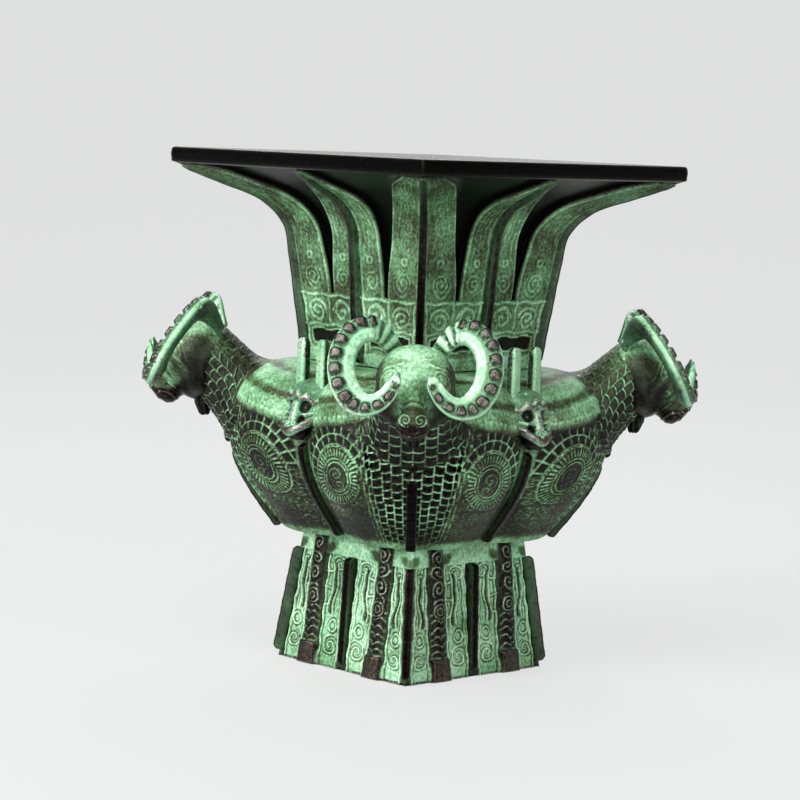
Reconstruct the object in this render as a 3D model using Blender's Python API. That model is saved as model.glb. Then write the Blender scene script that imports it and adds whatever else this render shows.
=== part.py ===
"""Square bronze zun with four ram heads: a sectional casting, modelled piece by piece.

Metres, +Z up. The origin is the centre of the foot's underside. The four sides face
-Y, +X, +Y and -X, and the rams stand on the four corners between them.
"""

import math

import bmesh
import bpy
from mathutils import Matrix, Vector

# Clearance between two castings that are brazed together
FIT_GAP = 0.0003

# Foot: a hollow four-sided stand that spreads towards the ground
FOOT_HEIGHT = 0.0390
FOOT_TOP_SIDE = 0.0462
FOOT_BASE_SIDE = 0.0552
FOOT_WALL = 0.0030
FOOT_SPIGOT = 0.0026
FOOT_LEDGE = 0.0031
LEG_SPACING = 0.0282
LEG_WIDTH = 0.0050
LEG_TOP_DROP = 0.0060
LEG_RELIEF = 0.0013
HOOF_HEIGHT = 0.0075
HOOF_WIDTH = 0.0064
HOOF_RELIEF = 0.0022

# Belly: four ram chests that run together at the middle of each side
BELLY_HEIGHT = 0.0497
BELLY_WALL = 0.0036
CHEST_REACH = 0.0562
CHEST_FOOT_REACH = 0.0382
SIDE_REACH = 0.0437
SIDE_FOOT_REACH = 0.0264
LOBE_POWER = 1.7
WIDEST_SHARE = 0.62
SHOULDER_POWER = 3.2
SHOULDER_ROUND = 0.45
OVAL_ANGLE = 24.0
OVAL_SHARE = 0.42
OVAL_WIDTH = 0.0152
OVAL_HEIGHT = 0.0192
OVAL_RELIEF = 0.0006
OVAL_RIM = 0.0012
FLOOR_THICKNESS = 0.0026
FLOOR_OVERLAP = 0.0024

# Neck: a four-sided trumpet with raised leaf blades under a thick lip
NECK_HEIGHT = 0.0610
NECK_BASE_SIDE = 0.0470
NECK_BEND_SIDE = 0.0584
NECK_BEND_RISE = 0.0455
NECK_BEND_RADIUS = 0.0170
NECK_WALL = 0.0038
NECK_SPIGOT = 0.0024
NECK_SHOULDER = 0.0014
COLLAR_MARGIN = 0.0010
RIM_SIDE = 0.1072
RIM_EDGE = 0.0042
RIM_LAND = 0.0030
BAND_HEIGHT = 0.0200
CORNER_BLADE_WIDTH = 0.0128
CORNER_BLADE_TIP = 0.0070
SIDE_BLADE_WIDTH = 0.0196
SIDE_BLADE_TIP = 0.0028
BLADE_RELIEF = 0.0020
BLADE_DRAFT = 0.0004

# Flanges: flat strips let into grooves at the corners, the side centres and the chests
FLANGE_THICKNESS = 0.0023
CORNER_FLANGE_PROUD = 0.0021
SIDE_FLANGE_PROUD = 0.0032
FLANGE_TIP_PROUD = 0.0009
FLANGE_SEAT = 0.0011
FIN_THICKNESS = 0.0030
FIN_PROUD = 0.0026

# Ram heads: neck, skull and muzzle in one casting, pegged into the chest
RAM_ROOT_SHARE = 0.734
RAM_ROOT_LEAN = 34.0
RAM_END_LEAN = 20.0
RAM_PEG_DEPTH = 0.0060
RAM_NECK_RISE = 45.5
RAM_NECK_LENGTH = 0.0150
RAM_NECK_FLARE = 1.10
RAM_NECK_ROOT_WIDTH = 0.0240
RAM_NECK_ROOT_DEPTH = 0.0224
RAM_NECK_END_WIDTH = 0.0204
RAM_NECK_END_DEPTH = 0.0208
RAM_SKULL_FORWARD = 0.0051
RAM_SKULL_LIFT = 0.0031
RAM_HEAD_DROP = 46.0
RAM_HEAD_LENGTH = 0.0262
RAM_SKULL_WIDTH = 0.0218
RAM_SKULL_DEPTH = 0.0180
RAM_BRIDGE_WIDTH = 0.0078
RAM_MUZZLE_WIDTH = 0.0096
RAM_MUZZLE_DEPTH = 0.0098
BEARD_LENGTH = 0.0050
BEARD_WIDTH = 0.0052

# Horns: ringed coils that start on the poll and end beside the cheek
HORN_SPAN = 0.0166
HORN_RISE = 0.0240
HORN_OFFSET = 0.0118
HORN_FORWARD = 0.0027
HORN_LIFT = 0.0026
HORN_LEAN = 31.0
HORN_WIDTH = 0.0078
HORN_DEPTH = 0.0050
HORN_TIP_SHARE = 0.40
HORN_TAPER_SHARE = 0.55
HORN_START = 45.0
HORN_SWEEP = 290.0
HORN_SINK = 0.0056
HORN_BULGE = 0.0042
HORN_TIP_REACH = 0.0070
HORN_TIP_CURL = 0.30
HORN_RIDGES = 11
HORN_RIDGE_RELIEF = 0.09

# Beast heads: small horned masks on the shoulder at the middle of each side
BEAST_WIDTH = 0.0118
BEAST_SNOUT_WIDTH = 0.0077
BEAST_TOP_SHARE = 0.942
BEAST_DROP = 0.0172
BEAST_REACH = 0.0053
BEAST_DEPTH = 0.0082
BEAST_TENON_DEPTH = 0.0061
BEAST_TENON_WIDTH = 0.0068
BEAST_TENON_HEIGHT = 0.0090
BEAST_TENON_DROP = 0.0030
BEAST_HORN_SPACING = 0.0066
BEAST_HORN_HEIGHT = 0.0115
BEAST_HORN_WIDTH = 0.0036

# Levels and directions that several pieces share
BELLY_Z = FOOT_HEIGHT + FIT_GAP
NECK_Z = BELLY_Z + BELLY_HEIGHT + FIT_GAP
RIM_Z = NECK_Z + NECK_HEIGHT
SIDES = ("front", "right", "back", "left")
CORNERS = ("front_right", "back_right", "back_left", "front_left")
QUARTER = math.pi / 2
DIAGONAL = math.sqrt(2.0)
ROUND = 16

# Colours of the cast: verdigris, the darker strips and the rubbed horns
VERDIGRIS = (0.115, 0.335, 0.160, 1.0)
DARK_BRONZE = (0.042, 0.028, 0.021, 1.0)
RUBBED_GREEN = (0.190, 0.390, 0.215, 1.0)


def new_collection(name):
    """A collection linked to the scene."""
    made = bpy.data.collections.new(name)
    bpy.context.scene.collection.children.link(made)
    return made


def new_material(name, colour, roughness, metallic):
    """A Principled BSDF of one colour."""
    material = bpy.data.materials.new(name)
    material.use_nodes = True
    shader = material.node_tree.nodes["Principled BSDF"]
    shader.inputs["Base Color"].default_value = colour
    shader.inputs["Roughness"].default_value = roughness
    shader.inputs["Metallic"].default_value = metallic
    return material


def loft(rings, closed_loop=False):
    """Skin rings of equal count: a closed loop has no ends, an open one is capped."""
    mesh = bmesh.new()
    rows = [[mesh.verts.new(point) for point in ring] for ring in rings]
    pairs = list(zip(rows, rows[1:]))
    if closed_loop:
        pairs.append((rows[-1], rows[0]))
    else:
        mesh.faces.new(rows[0])
        mesh.faces.new(rows[-1])
    for first, second in pairs:
        for i in range(len(first)):
            j = (i + 1) % len(first)
            mesh.faces.new((first[i], first[j], second[j], second[i]))
    bmesh.ops.recalc_face_normals(mesh, faces=mesh.faces[:])
    return mesh


def plate(outline, thickness):
    """A flat outline in the XZ plane, extruded evenly to both sides."""
    mesh = bmesh.new()
    face = mesh.faces.new([mesh.verts.new((x, -thickness / 2, z)) for x, z in outline])
    made = bmesh.ops.extrude_face_region(mesh, geom=[face])
    moved = [item for item in made["geom"] if isinstance(item, bmesh.types.BMVert)]
    bmesh.ops.translate(mesh, verts=moved, vec=(0.0, thickness, 0.0))
    bmesh.ops.recalc_face_normals(mesh, faces=mesh.faces[:])
    return mesh


def box(low, high):
    """A box between two corners."""
    mesh = bmesh.new()
    bmesh.ops.create_cube(mesh, size=1.0)
    middle = (Vector(low) + Vector(high)) / 2
    size = Vector(high) - Vector(low)
    bmesh.ops.scale(mesh, verts=mesh.verts[:], vec=size)
    bmesh.ops.translate(mesh, verts=mesh.verts[:], vec=middle)
    return mesh


def to_object(name, mesh, group, material=None, turn=0.0):
    """A named object from a bmesh, turned about the vessel's axis."""
    data = bpy.data.meshes.new(name)
    mesh.to_mesh(data)
    mesh.free()
    data.shade_smooth()
    data.set_sharp_from_angle(angle=math.radians(38))
    made = bpy.data.objects.new(name, data)
    made.rotation_euler.z = turn
    if material:
        data.materials.append(material)
    group.objects.link(made)
    return made


def cutter(name, mesh, turn=0.0):
    """A hidden solid that a Boolean reads."""
    made = to_object(name, mesh, CUTTERS, turn=turn)
    made.hide_render = True
    made.display_type = "WIRE"
    return made


def boolean(target, tool, operation="DIFFERENCE"):
    """A live Boolean on target."""
    modifier = target.modifiers.new(f"{operation.lower()} {tool.name}", "BOOLEAN")
    modifier.operation = operation
    modifier.object = tool
    modifier.solver = "EXACT"


def side_turn(index):
    """The turn that takes +X to the outward direction of this side."""
    return (index - 1) * QUARTER


def corner_turn(index):
    """The turn that takes +X to the outward direction of this corner."""
    return (index - 0.5) * QUARTER


def square_ring(side_points):
    """One ring from the points across the +X side, repeated round the four sides."""
    ring = []
    for index in range(len(SIDES)):
        spin = Matrix.Rotation(side_turn(index), 3, "Z")
        ring += [spin @ Vector((out, u, z)) for u, out, z in side_points]
    return ring


def plain_side(half_side, z, count):
    """Evenly spread points across one side, without the far corner."""
    return [(half_side * (2 * i / count - 1), half_side, z) for i in range(count)]


def ellipse(centre, across, upward, half_width, half_height, count=ROUND):
    """An ellipse spanned by two directions."""
    ring = []
    for i in range(count):
        angle = math.tau * (i + 0.5) / count
        reach = across * (half_width * math.cos(angle))
        ring.append(centre + reach + upward * (half_height * math.sin(angle)))
    return ring


def offset_path(path, first, last=None):
    """A path that runs upwards, moved outwards along its normals, evenly or with a taper."""
    last = first if last is None else last
    moved = []
    for i, (x, z) in enumerate(path):
        before = path[max(i - 1, 0)]
        after = path[min(i + 1, len(path) - 1)]
        along = Vector((after[0] - before[0], after[1] - before[1])).normalized()
        distance = first + (last - first) * i / (len(path) - 1)
        moved.append((x + along.y * distance, z - along.x * distance))
    return moved


def lengthened(path, length):
    """A path made longer at both ends."""
    start, end = Vector(path[0]), Vector(path[-1])
    first = (start - Vector(path[1])).normalized() * length
    last = (end - Vector(path[-2])).normalized() * length
    return [tuple(start + first), *path[1:-1], tuple(end + last)]


def path_between(path, low, high):
    """The stretch of a rising path between two heights, with its ends worked out."""

    def at(height):
        for (ax, az), (bx, bz) in zip(path, path[1:]):
            if az <= height <= bz:
                return ax + (bx - ax) * (height - az) / (bz - az), height
        return path[-1]

    inside = [point for point in path if low + 1e-4 < point[1] < high - 1e-4]
    return [at(low), *inside, at(high)]


def flanges(kind, path, proud, tip, thickness, turns, casting, material):
    """Four strips on one path, each in its own groove in the casting."""
    edge = offset_path(path, proud, tip)
    edge[0] = tuple(Vector(edge[0]).lerp(Vector(edge[1]), 0.18))
    edge[-1] = tuple(Vector(edge[-1]).lerp(Vector(edge[-2]), 0.12))
    outline = edge + offset_path(path, -FLANGE_SEAT)[::-1]
    longer = lengthened(path, FIT_GAP)
    groove = offset_path(longer, 2 * proud) + offset_path(longer, -FLANGE_SEAT - FIT_GAP)[::-1]
    for place, turn in turns:
        to_object(f"{kind}_{place}", plate(outline, thickness), PARTS, material, turn)
        slot = plate(groove, thickness + 2 * FIT_GAP)
        boolean(casting, cutter(f"groove {kind} {place}", slot, turn))


# Foot


def foot_half_side(z):
    """Half the foot's side at a height."""
    share = z / FOOT_HEIGHT
    return FOOT_BASE_SIDE / 2 + (FOOT_TOP_SIDE - FOOT_BASE_SIDE) / 2 * share


def foot_side(z, width, relief):
    """Points across one side of the foot, with its two legs standing in relief."""
    half = foot_half_side(z)
    points = [(-half, half, z)]
    for centre in (-LEG_SPACING / 2, LEG_SPACING / 2):
        low, high = centre - width / 2, centre + width / 2
        points.append((low, half, z))
        points.append((low + BLADE_DRAFT, half + relief, z))
        points.append((high - BLADE_DRAFT, half + relief, z))
        points.append((high, half, z))
    return points


def build_foot(material):
    """The stand, with legs and hooves in relief and a spigot that enters the belly."""
    leg_top = FOOT_HEIGHT - LEG_TOP_DROP
    levels = (
        (0.0, HOOF_WIDTH, HOOF_RELIEF),
        (HOOF_HEIGHT * 0.75, HOOF_WIDTH, HOOF_RELIEF),
        (HOOF_HEIGHT, LEG_WIDTH, LEG_RELIEF),
        (leg_top - 2 * LEG_RELIEF, LEG_WIDTH, LEG_RELIEF),
        (leg_top, LEG_WIDTH, 0.0),
        (FOOT_HEIGHT, LEG_WIDTH, 0.0),
    )
    rings = [square_ring(foot_side(*level)) for level in levels]
    spigot = FOOT_TOP_SIDE / 2 - FOOT_LEDGE
    top = FOOT_HEIGHT + FOOT_SPIGOT
    inside = (
        (spigot, FOOT_HEIGHT),
        (spigot, top),
        (spigot - FOOT_WALL, top),
        (spigot - FOOT_WALL, FOOT_HEIGHT - FOOT_WALL),
        (foot_half_side(FOOT_HEIGHT / 2) - FOOT_WALL, FOOT_HEIGHT - 2 * FOOT_WALL),
        (FOOT_BASE_SIDE / 2 - FOOT_WALL, 0.0),
    )
    count = len(foot_side(*levels[0]))
    rings += [square_ring(plain_side(half, z, count)) for half, z in inside]
    foot = to_object("foot_casting", loft(rings, closed_loop=True), PARTS, material)
    return foot


def build_floor(material):
    """The plate that closes the belly over the foot's spigot."""
    half = FOOT_TOP_SIDE / 2 - FOOT_LEDGE + FLOOR_OVERLAP
    low = BELLY_Z + FOOT_SPIGOT + FIT_GAP
    mesh = box((-half, -half, low), (half, half, low + FLOOR_THICKNESS))
    to_object("floor_plate", mesh, PARTS, material)


# Belly


def lobe(angle):
    """One at a ram's corner and nothing at the middle of a side."""
    from_side = abs((angle + QUARTER / 2) % QUARTER - QUARTER / 2)
    from_corner = 1.0 - from_side / (QUARTER / 2)
    return 1.0 - from_corner**LOBE_POWER


def square_reach(half_side, angle):
    """How far a square reaches in a direction."""
    return half_side / max(abs(math.cos(angle)), abs(math.sin(angle)))


def belly_reach(angle, share):
    """How far the belly reaches in a direction, at a share of its height."""
    swell = lobe(angle)
    widest = SIDE_REACH + (CHEST_REACH - SIDE_REACH) * swell
    if share <= WIDEST_SHARE:
        foot = SIDE_FOOT_REACH + (CHEST_FOOT_REACH - SIDE_FOOT_REACH) * swell
        rise = math.sin(QUARTER * share / WIDEST_SHARE)
        return foot + (widest - foot) * rise
    collar = square_reach(NECK_BASE_SIDE / 2 + COLLAR_MARGIN, angle)
    over = (share - WIDEST_SHARE) / (1.0 - WIDEST_SHARE)
    return collar + (widest - collar) * (1.0 - over**SHOULDER_POWER) ** SHOULDER_ROUND


def belly_z(share):
    """The height at a share of the belly."""
    return BELLY_Z + BELLY_HEIGHT * share


def belly_path(angle, low, high, steps):
    """Reach and height up the belly in one direction, between two shares."""
    path = []
    for i in range(steps + 1):
        share = low + (high - low) * i / steps
        path.append((belly_reach(angle, share), belly_z(share)))
    return path


def flank_oval(hand):
    """The raised oval on one flank of a chest, with +X through the chest."""
    middle = belly_reach(QUARTER / 2 + math.radians(OVAL_ANGLE), OVAL_SHARE)
    levels = ((0, -2 * OVAL_RELIEF), (0, 0.0), (1, OVAL_RELIEF), (3, OVAL_RELIEF))
    rings = []
    for margin, lift in ((steps * OVAL_RIM, lift) for steps, lift in levels):
        ring = []
        for i in range(ROUND):
            turn = math.tau * i / ROUND
            across = (OVAL_WIDTH / 2 - margin) * math.cos(turn)
            away = hand * (math.radians(OVAL_ANGLE) + across / middle)
            share = OVAL_SHARE + (OVAL_HEIGHT / 2 - margin) * math.sin(turn) / BELLY_HEIGHT
            reach = belly_reach(QUARTER / 2 + away, share) + lift
            ring.append(Vector((reach * math.cos(away), reach * math.sin(away), belly_z(share))))
        rings.append(ring)
    return loft(rings)


def build_belly(material):
    """The lobed body: open to the neck above and to the foot's spigot below."""
    count = 3 * ROUND
    angles = [math.tau * i / count for i in range(count)]

    def polar(reach_at, z):
        return [Vector((math.cos(a), math.sin(a), 0.0)) * reach_at(a) + Vector((0, 0, z)) for a in angles]

    def square(half_side, z):
        return polar(lambda a: square_reach(half_side, a), z)

    def hollow(angle, share):
        socket = max(RAM_PEG_DEPTH, BEAST_TENON_DEPTH)
        return belly_reach(angle, share) - BELLY_WALL - socket

    shares = (0.0, 0.055, 0.14, 0.25, 0.38, 0.50, 0.62, 0.72, 0.81, 0.88, 0.94, 0.98, 1.0)
    rings = [polar(lambda a: belly_reach(a, s), belly_z(s)) for s in shares]
    opening = NECK_BASE_SIDE / 2 - NECK_SHOULDER + FIT_GAP
    under = FOOT_TOP_SIDE / 2 - FOOT_LEDGE + FIT_GAP
    rings.append(square(opening, belly_z(1.0)))
    rings.append(square(opening, belly_z(1.0) - BELLY_WALL))
    for share in (0.86, 0.75, 0.60, 0.42, 0.24):
        rings.append(polar(lambda a: hollow(a, share), belly_z(share)))
    ledge = BELLY_Z + FOOT_SPIGOT
    seat = under + FLOOR_OVERLAP + FIT_GAP
    rings.append(square(seat, ledge + FLOOR_THICKNESS + 2 * FIT_GAP))
    rings.append(square(seat, ledge))
    rings.append(square(under, ledge))
    rings.append(square(under, BELLY_Z))
    belly = to_object("belly_casting", loft(rings, closed_loop=True), PARTS, material)
    for index, place in enumerate(CORNERS):
        for hand, word in ((-1.0, "a"), (1.0, "b")):
            oval = cutter(f"oval {place} {word}", flank_oval(hand), corner_turn(index))
            boolean(belly, oval, "UNION")
    return belly


# Neck


def neck_path():
    """Half-side and height up the outside: a taper, a round bend and a straight lip."""
    base = Vector((NECK_BASE_SIDE / 2, NECK_Z))
    bend = Vector((NECK_BEND_SIDE / 2, NECK_Z + NECK_BEND_RISE))
    lip = Vector((RIM_SIDE / 2, RIM_Z - RIM_EDGE))
    first = (bend - base).normalized()
    second = (lip - bend).normalized()
    turn = first.angle(second)
    arc_start = bend - first * NECK_BEND_RADIUS * math.tan(turn / 2)
    centre = arc_start + Vector((first.y, -first.x)) * NECK_BEND_RADIUS
    path = [base]
    for rise in (BAND_HEIGHT, BAND_HEIGHT + BLADE_RELIEF):
        path.append(base + first * rise / first.y)
    path.append((path[-1] + arc_start) / 2)
    for step in range(6):
        spin = Matrix.Rotation(-turn * step / 5, 2)
        path.append(centre + spin @ (arc_start - centre))
    path.append((path[-1] + lip) / 2)
    path.append(lip)
    return [tuple(point) for point in path]


def neck_side(raised, ground, at_corner, at_middle):
    """Points across one side: half a corner blade, the middle blade, half a corner blade."""
    half, z = raised
    points = [(-half, half, z)]
    for low, high in ((at_corner - half, -at_middle), (at_middle, half - at_corner)):
        points.append((low, half, z))
        points.append((low + BLADE_DRAFT, *ground))
        points.append((high - BLADE_DRAFT, *ground))
        points.append((high, half, z))
    return points


def build_neck(material):
    """The flared neck: leaf blades outside, a plain square throat, a spigot below."""
    raised = neck_path()
    ground = offset_path(raised, -BLADE_RELIEF)
    last = len(raised) - 1
    rings = []
    for i, point in enumerate(raised):
        below = 2 < i < last
        at_corner, at_middle = CORNER_BLADE_WIDTH, SIDE_BLADE_WIDTH / 2
        if i < 3:
            at_corner = point[0] * CORNER_BLADE_WIDTH / (CORNER_BLADE_WIDTH + SIDE_BLADE_WIDTH / 2)
            at_middle = point[0] - at_corner - 3 * BLADE_DRAFT
        if i > last - 2:
            narrow = (i - last + 2) / 2
            at_corner += (CORNER_BLADE_TIP - at_corner) * narrow
            at_middle += (SIDE_BLADE_TIP / 2 - at_middle) * narrow
        rings.append(square_ring(neck_side(point, ground[i] if below else point, at_corner, at_middle)))
    count = len(rings[0]) // len(SIDES)
    rim = RIM_SIDE / 2
    throat = [point for point in offset_path(raised, -NECK_WALL) if point[0] < rim - 2 * RIM_LAND]
    spigot = NECK_BASE_SIDE / 2 - NECK_SHOULDER
    inside = [(rim, RIM_Z), (rim - RIM_LAND, RIM_Z), *throat[::-1]]
    inside += [(throat[0][0], NECK_Z - NECK_SPIGOT), (spigot, NECK_Z - NECK_SPIGOT), (spigot, NECK_Z)]
    rings += [square_ring(plain_side(half, z, count)) for half, z in inside]
    return to_object("neck_casting", loft(rings, closed_loop=True), PARTS, material)


# Rams, modelled in the XZ plane with +X outwards


def ram_frame():
    """The root, neck end and skull centre of a ram, and its neck and face directions."""
    angle = QUARTER / 2
    reach = belly_reach(angle, RAM_ROOT_SHARE) - RAM_PEG_DEPTH
    root = Vector((reach, 0.0, belly_z(RAM_ROOT_SHARE)))
    rise = math.radians(RAM_NECK_RISE)
    drop = math.radians(RAM_HEAD_DROP)
    neck_end = root + Vector((math.cos(rise), 0.0, math.sin(rise))) * RAM_NECK_LENGTH
    skull = neck_end + Vector((RAM_SKULL_FORWARD, 0.0, RAM_SKULL_LIFT))
    face = Vector((math.cos(drop), 0.0, -math.sin(drop)))
    return root, neck_end, skull, face


def ram_neck(grow):
    """The neck from inside the chest to inside the skull, grown by a clearance."""
    root, neck_end, _, _ = ram_frame()
    across = Vector((0.0, 1.0, 0.0))
    rings = []
    stations = (
        (-grow / RAM_NECK_LENGTH, RAM_NECK_FLARE),
        (0.20, RAM_NECK_FLARE),
        (0.45, 1.02),
        (0.75, 1.00),
        (1.00, 0.98),
        (1.20, 0.80),
    )
    for share, size in stations:
        lean = math.radians(RAM_ROOT_LEAN + (RAM_END_LEAN - RAM_ROOT_LEAN) * share)
        upward = Vector((-math.sin(lean), 0.0, math.cos(lean)))
        width = RAM_NECK_ROOT_WIDTH + (RAM_NECK_END_WIDTH - RAM_NECK_ROOT_WIDTH) * share
        depth = RAM_NECK_ROOT_DEPTH + (RAM_NECK_END_DEPTH - RAM_NECK_ROOT_DEPTH) * share
        centre = root.lerp(neck_end, share)
        half_width, half_depth = width / 2 * size + grow, depth / 2 * size + grow
        rings.append(ellipse(centre, across, upward, half_width, half_depth))
    return loft(rings)


def ram_skull():
    """The head along its face: a domed poll, a round brow, a slim bridge and a knob of a muzzle."""
    _, _, skull, face = ram_frame()
    across = Vector((0.0, 1.0, 0.0))
    upward = Vector((-face.z, 0.0, face.x))
    brow_width, brow_depth = RAM_SKULL_WIDTH / 2, RAM_SKULL_DEPTH / 2
    nose_width, nose_depth = RAM_MUZZLE_WIDTH / 2, RAM_MUZZLE_DEPTH / 2
    bridge = RAM_BRIDGE_WIDTH / 2
    stations = (
        (-0.40, 0.42 * brow_width, 0.40 * brow_depth),
        (-0.33, 0.78 * brow_width, 0.74 * brow_depth),
        (-0.20, 0.97 * brow_width, 0.95 * brow_depth),
        (0.00, brow_width, brow_depth),
        (0.16, 0.88 * brow_width, 0.92 * brow_depth),
        (0.28, 1.50 * bridge, 1.34 * nose_depth),
        (0.38, 1.04 * bridge, 1.06 * nose_depth),
        (0.45, bridge, 0.96 * nose_depth),
        (0.55, nose_width, nose_depth),
        (0.62, 0.80 * nose_width, 0.78 * nose_depth),
        (0.65, 0.40 * nose_width, 0.40 * nose_depth),
    )
    rings = []
    for share, half_width, half_depth in stations:
        centre = skull + face * (RAM_HEAD_LENGTH * share)
        rings.append(ellipse(centre, across, upward, half_width, half_depth))
    return loft(rings)


def ram_beard():
    """The short blunt beard under the jaw."""
    _, _, skull, face = ram_frame()
    upward = Vector((-face.z, 0.0, face.x))
    jaw = skull + face * (RAM_HEAD_LENGTH * 0.24) - upward * (RAM_SKULL_DEPTH * 0.41)
    across = Vector((0.0, 1.0, 0.0))
    forward = Vector((1.0, 0.0, 0.0))
    length = RAM_SKULL_DEPTH * 0.20 + BEARD_LENGTH
    rings = []
    for share, size in ((0.0, 1.0), (0.6, 0.95), (1.0, 0.45)):
        centre = jaw + Vector((-0.12 * share, 0.0, -share)) * length
        rings.append(ellipse(centre, across, forward, BEARD_WIDTH / 2 * size, BEARD_WIDTH / 2 * size, 8))
    return loft(rings)


def ram_horn(grow, hand):
    """A coil from the poll over the top, round the outside and up in front of the cheek."""
    _, _, skull, _ = ram_frame()
    lean = math.radians(HORN_LEAN)
    upward = Vector((-math.sin(lean), 0.0, math.cos(lean)))
    outward = Vector((math.cos(lean), 0.0, math.sin(lean)))
    centre = skull + Vector((HORN_FORWARD, 0.0, HORN_LIFT))
    across = Vector((0.0, hand, 0.0))
    steps = 2 * HORN_RIDGES + 2

    def on_line(share):
        angle = math.radians(HORN_START + HORN_SWEEP * share)
        rooted = max(0.0, 1.0 - share / 0.22) ** 2
        curled = max(0.0, 1.0 - (1.0 - share) / HORN_TIP_CURL) ** 1.5
        lateral = HORN_OFFSET - HORN_SPAN / 2 * math.cos(angle)
        point = centre + across * lateral + upward * (HORN_RISE / 2 * math.sin(angle))
        bulge = HORN_BULGE * math.sin(angle / 2) ** 2
        return point + outward * (bulge - HORN_SINK * rooted + HORN_TIP_REACH * curled)

    rings = []
    for step in range(steps + 1):
        share = step / steps
        point = on_line(share)
        along = (on_line(share + 0.01) - on_line(share - 0.01)).normalized()
        radial = along.cross(outward).normalized()
        facing = radial.cross(along)
        slim = max(0.0, share - HORN_TAPER_SHARE) / (1.0 - HORN_TAPER_SHARE)
        taper = 1.0 - (1.0 - HORN_TIP_SHARE) * slim
        if 2 <= step <= steps - 1:
            taper *= 1.0 + HORN_RIDGE_RELIEF * (1 if step % 2 else -1)
        if step == steps:
            taper *= 0.55
        half_width = HORN_WIDTH / 2 * taper + grow
        half_depth = HORN_DEPTH / 2 * taper + grow
        rings.append(ellipse(point, radial, facing, half_width, half_depth, 8))
    return loft(rings)


def build_rams(belly, green, rubbed):
    """Four heads socketed in the chests, each with two horns socketed in its poll."""
    for index, place in enumerate(CORNERS):
        turn = corner_turn(index)
        boolean(belly, cutter(f"socket ram {place}", ram_neck(FIT_GAP), turn))
        head = to_object(f"ram_head_{place}", ram_neck(0.0), PARTS, green, turn)
        boolean(head, cutter(f"skull {place}", ram_skull(), turn), "UNION")
        boolean(head, cutter(f"beard {place}", ram_beard(), turn), "UNION")
        for hand, word in ((-1.0, "a"), (1.0, "b")):
            boolean(head, cutter(f"socket horn {place} {word}", ram_horn(FIT_GAP, hand), turn))
            to_object(f"ram_horn_{place}_{word}", ram_horn(0.0, hand), PARTS, rubbed, turn)


# Beast heads, modelled in the XZ plane with +X outwards


def beast_tenon(grow):
    """The block behind a mask, let into the shoulder."""
    seat = SIDE_REACH - BEAST_TENON_DEPTH
    top = belly_z(BEAST_TOP_SHARE) - BEAST_TENON_DROP
    half = BEAST_TENON_WIDTH / 2 + grow
    low = (seat - grow, -half, top - BEAST_TENON_HEIGHT - grow)
    return box(low, (SIDE_REACH + FIT_GAP, half, top + grow))


def beast_mask(grow):
    """The mask: a broad brow that narrows down to a jutting snout."""
    top = belly_z(BEAST_TOP_SHARE)
    across, outward = Vector((0.0, 1.0, 0.0)), Vector((1.0, 0.0, 0.0))
    brow, snout = BEAST_WIDTH / 2, BEAST_SNOUT_WIDTH / 2
    face = SIDE_REACH + BEAST_REACH
    stations = (
        (-grow / BEAST_DROP, 0.85 * brow, face - 0.0036, 0.73 * BEAST_DEPTH),
        (0.14, brow, face - 0.0018, BEAST_DEPTH),
        (0.42, brow, face - 0.0010, BEAST_DEPTH),
        (0.62, 0.83 * brow, face, 0.93 * BEAST_DEPTH),
        (0.80, snout, face + 0.0012, 0.73 * BEAST_DEPTH),
        (0.94, 0.93 * snout, face + 0.0015, 0.61 * BEAST_DEPTH),
        (1.0 + grow / BEAST_DROP, 0.50 * snout, face + 0.0004, 0.30 * BEAST_DEPTH),
    )
    rings = []
    for share, half_width, front, depth in stations:
        centre = Vector((front - depth / 2, 0.0, top - BEAST_DROP * share))
        rings.append(ellipse(centre, across, outward, half_width + grow, depth / 2 + grow, 12))
    return loft(rings)


def beast_horn(hand):
    """One upright bottle horn with a knobbed end."""
    top = belly_z(BEAST_TOP_SHARE)
    base = Vector((SIDE_REACH - 0.0012, hand * BEAST_HORN_SPACING / 2, top - 0.0030))
    across, outward = Vector((0.0, 1.0, 0.0)), Vector((1.0, 0.0, 0.0))
    length = BEAST_HORN_HEIGHT + 0.0030
    radius = BEAST_HORN_WIDTH / 2
    stations = ((0.0, 0.9), (0.30, 0.8), (0.72, 0.75), (0.82, 1.0), (0.95, 1.0), (1.0, 0.6))
    rings = []
    for share, size in stations:
        centre = base + Vector((0.0, 0.0, length * share))
        rings.append(ellipse(centre, across, outward, radius * size, radius * size, 8))
    return loft(rings)


def build_beasts(belly, rubbed):
    """Four masks, each tenoned into a mortise at the middle of a side."""
    for index, place in enumerate(SIDES):
        turn = side_turn(index)
        boolean(belly, cutter(f"mortise {place}", beast_tenon(FIT_GAP), turn))
        boolean(belly, cutter(f"bed {place}", beast_mask(FIT_GAP), turn))
        beast = to_object(f"beast_head_{place}", beast_tenon(0.0), PARTS, rubbed, turn)
        boolean(beast, cutter(f"mask {place}", beast_mask(0.0), turn), "UNION")
        for hand in (-1.0, 1.0):
            horn = cutter(f"beast horn {place} {hand:+.0f}", beast_horn(hand), turn)
            boolean(beast, horn, "UNION")


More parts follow.
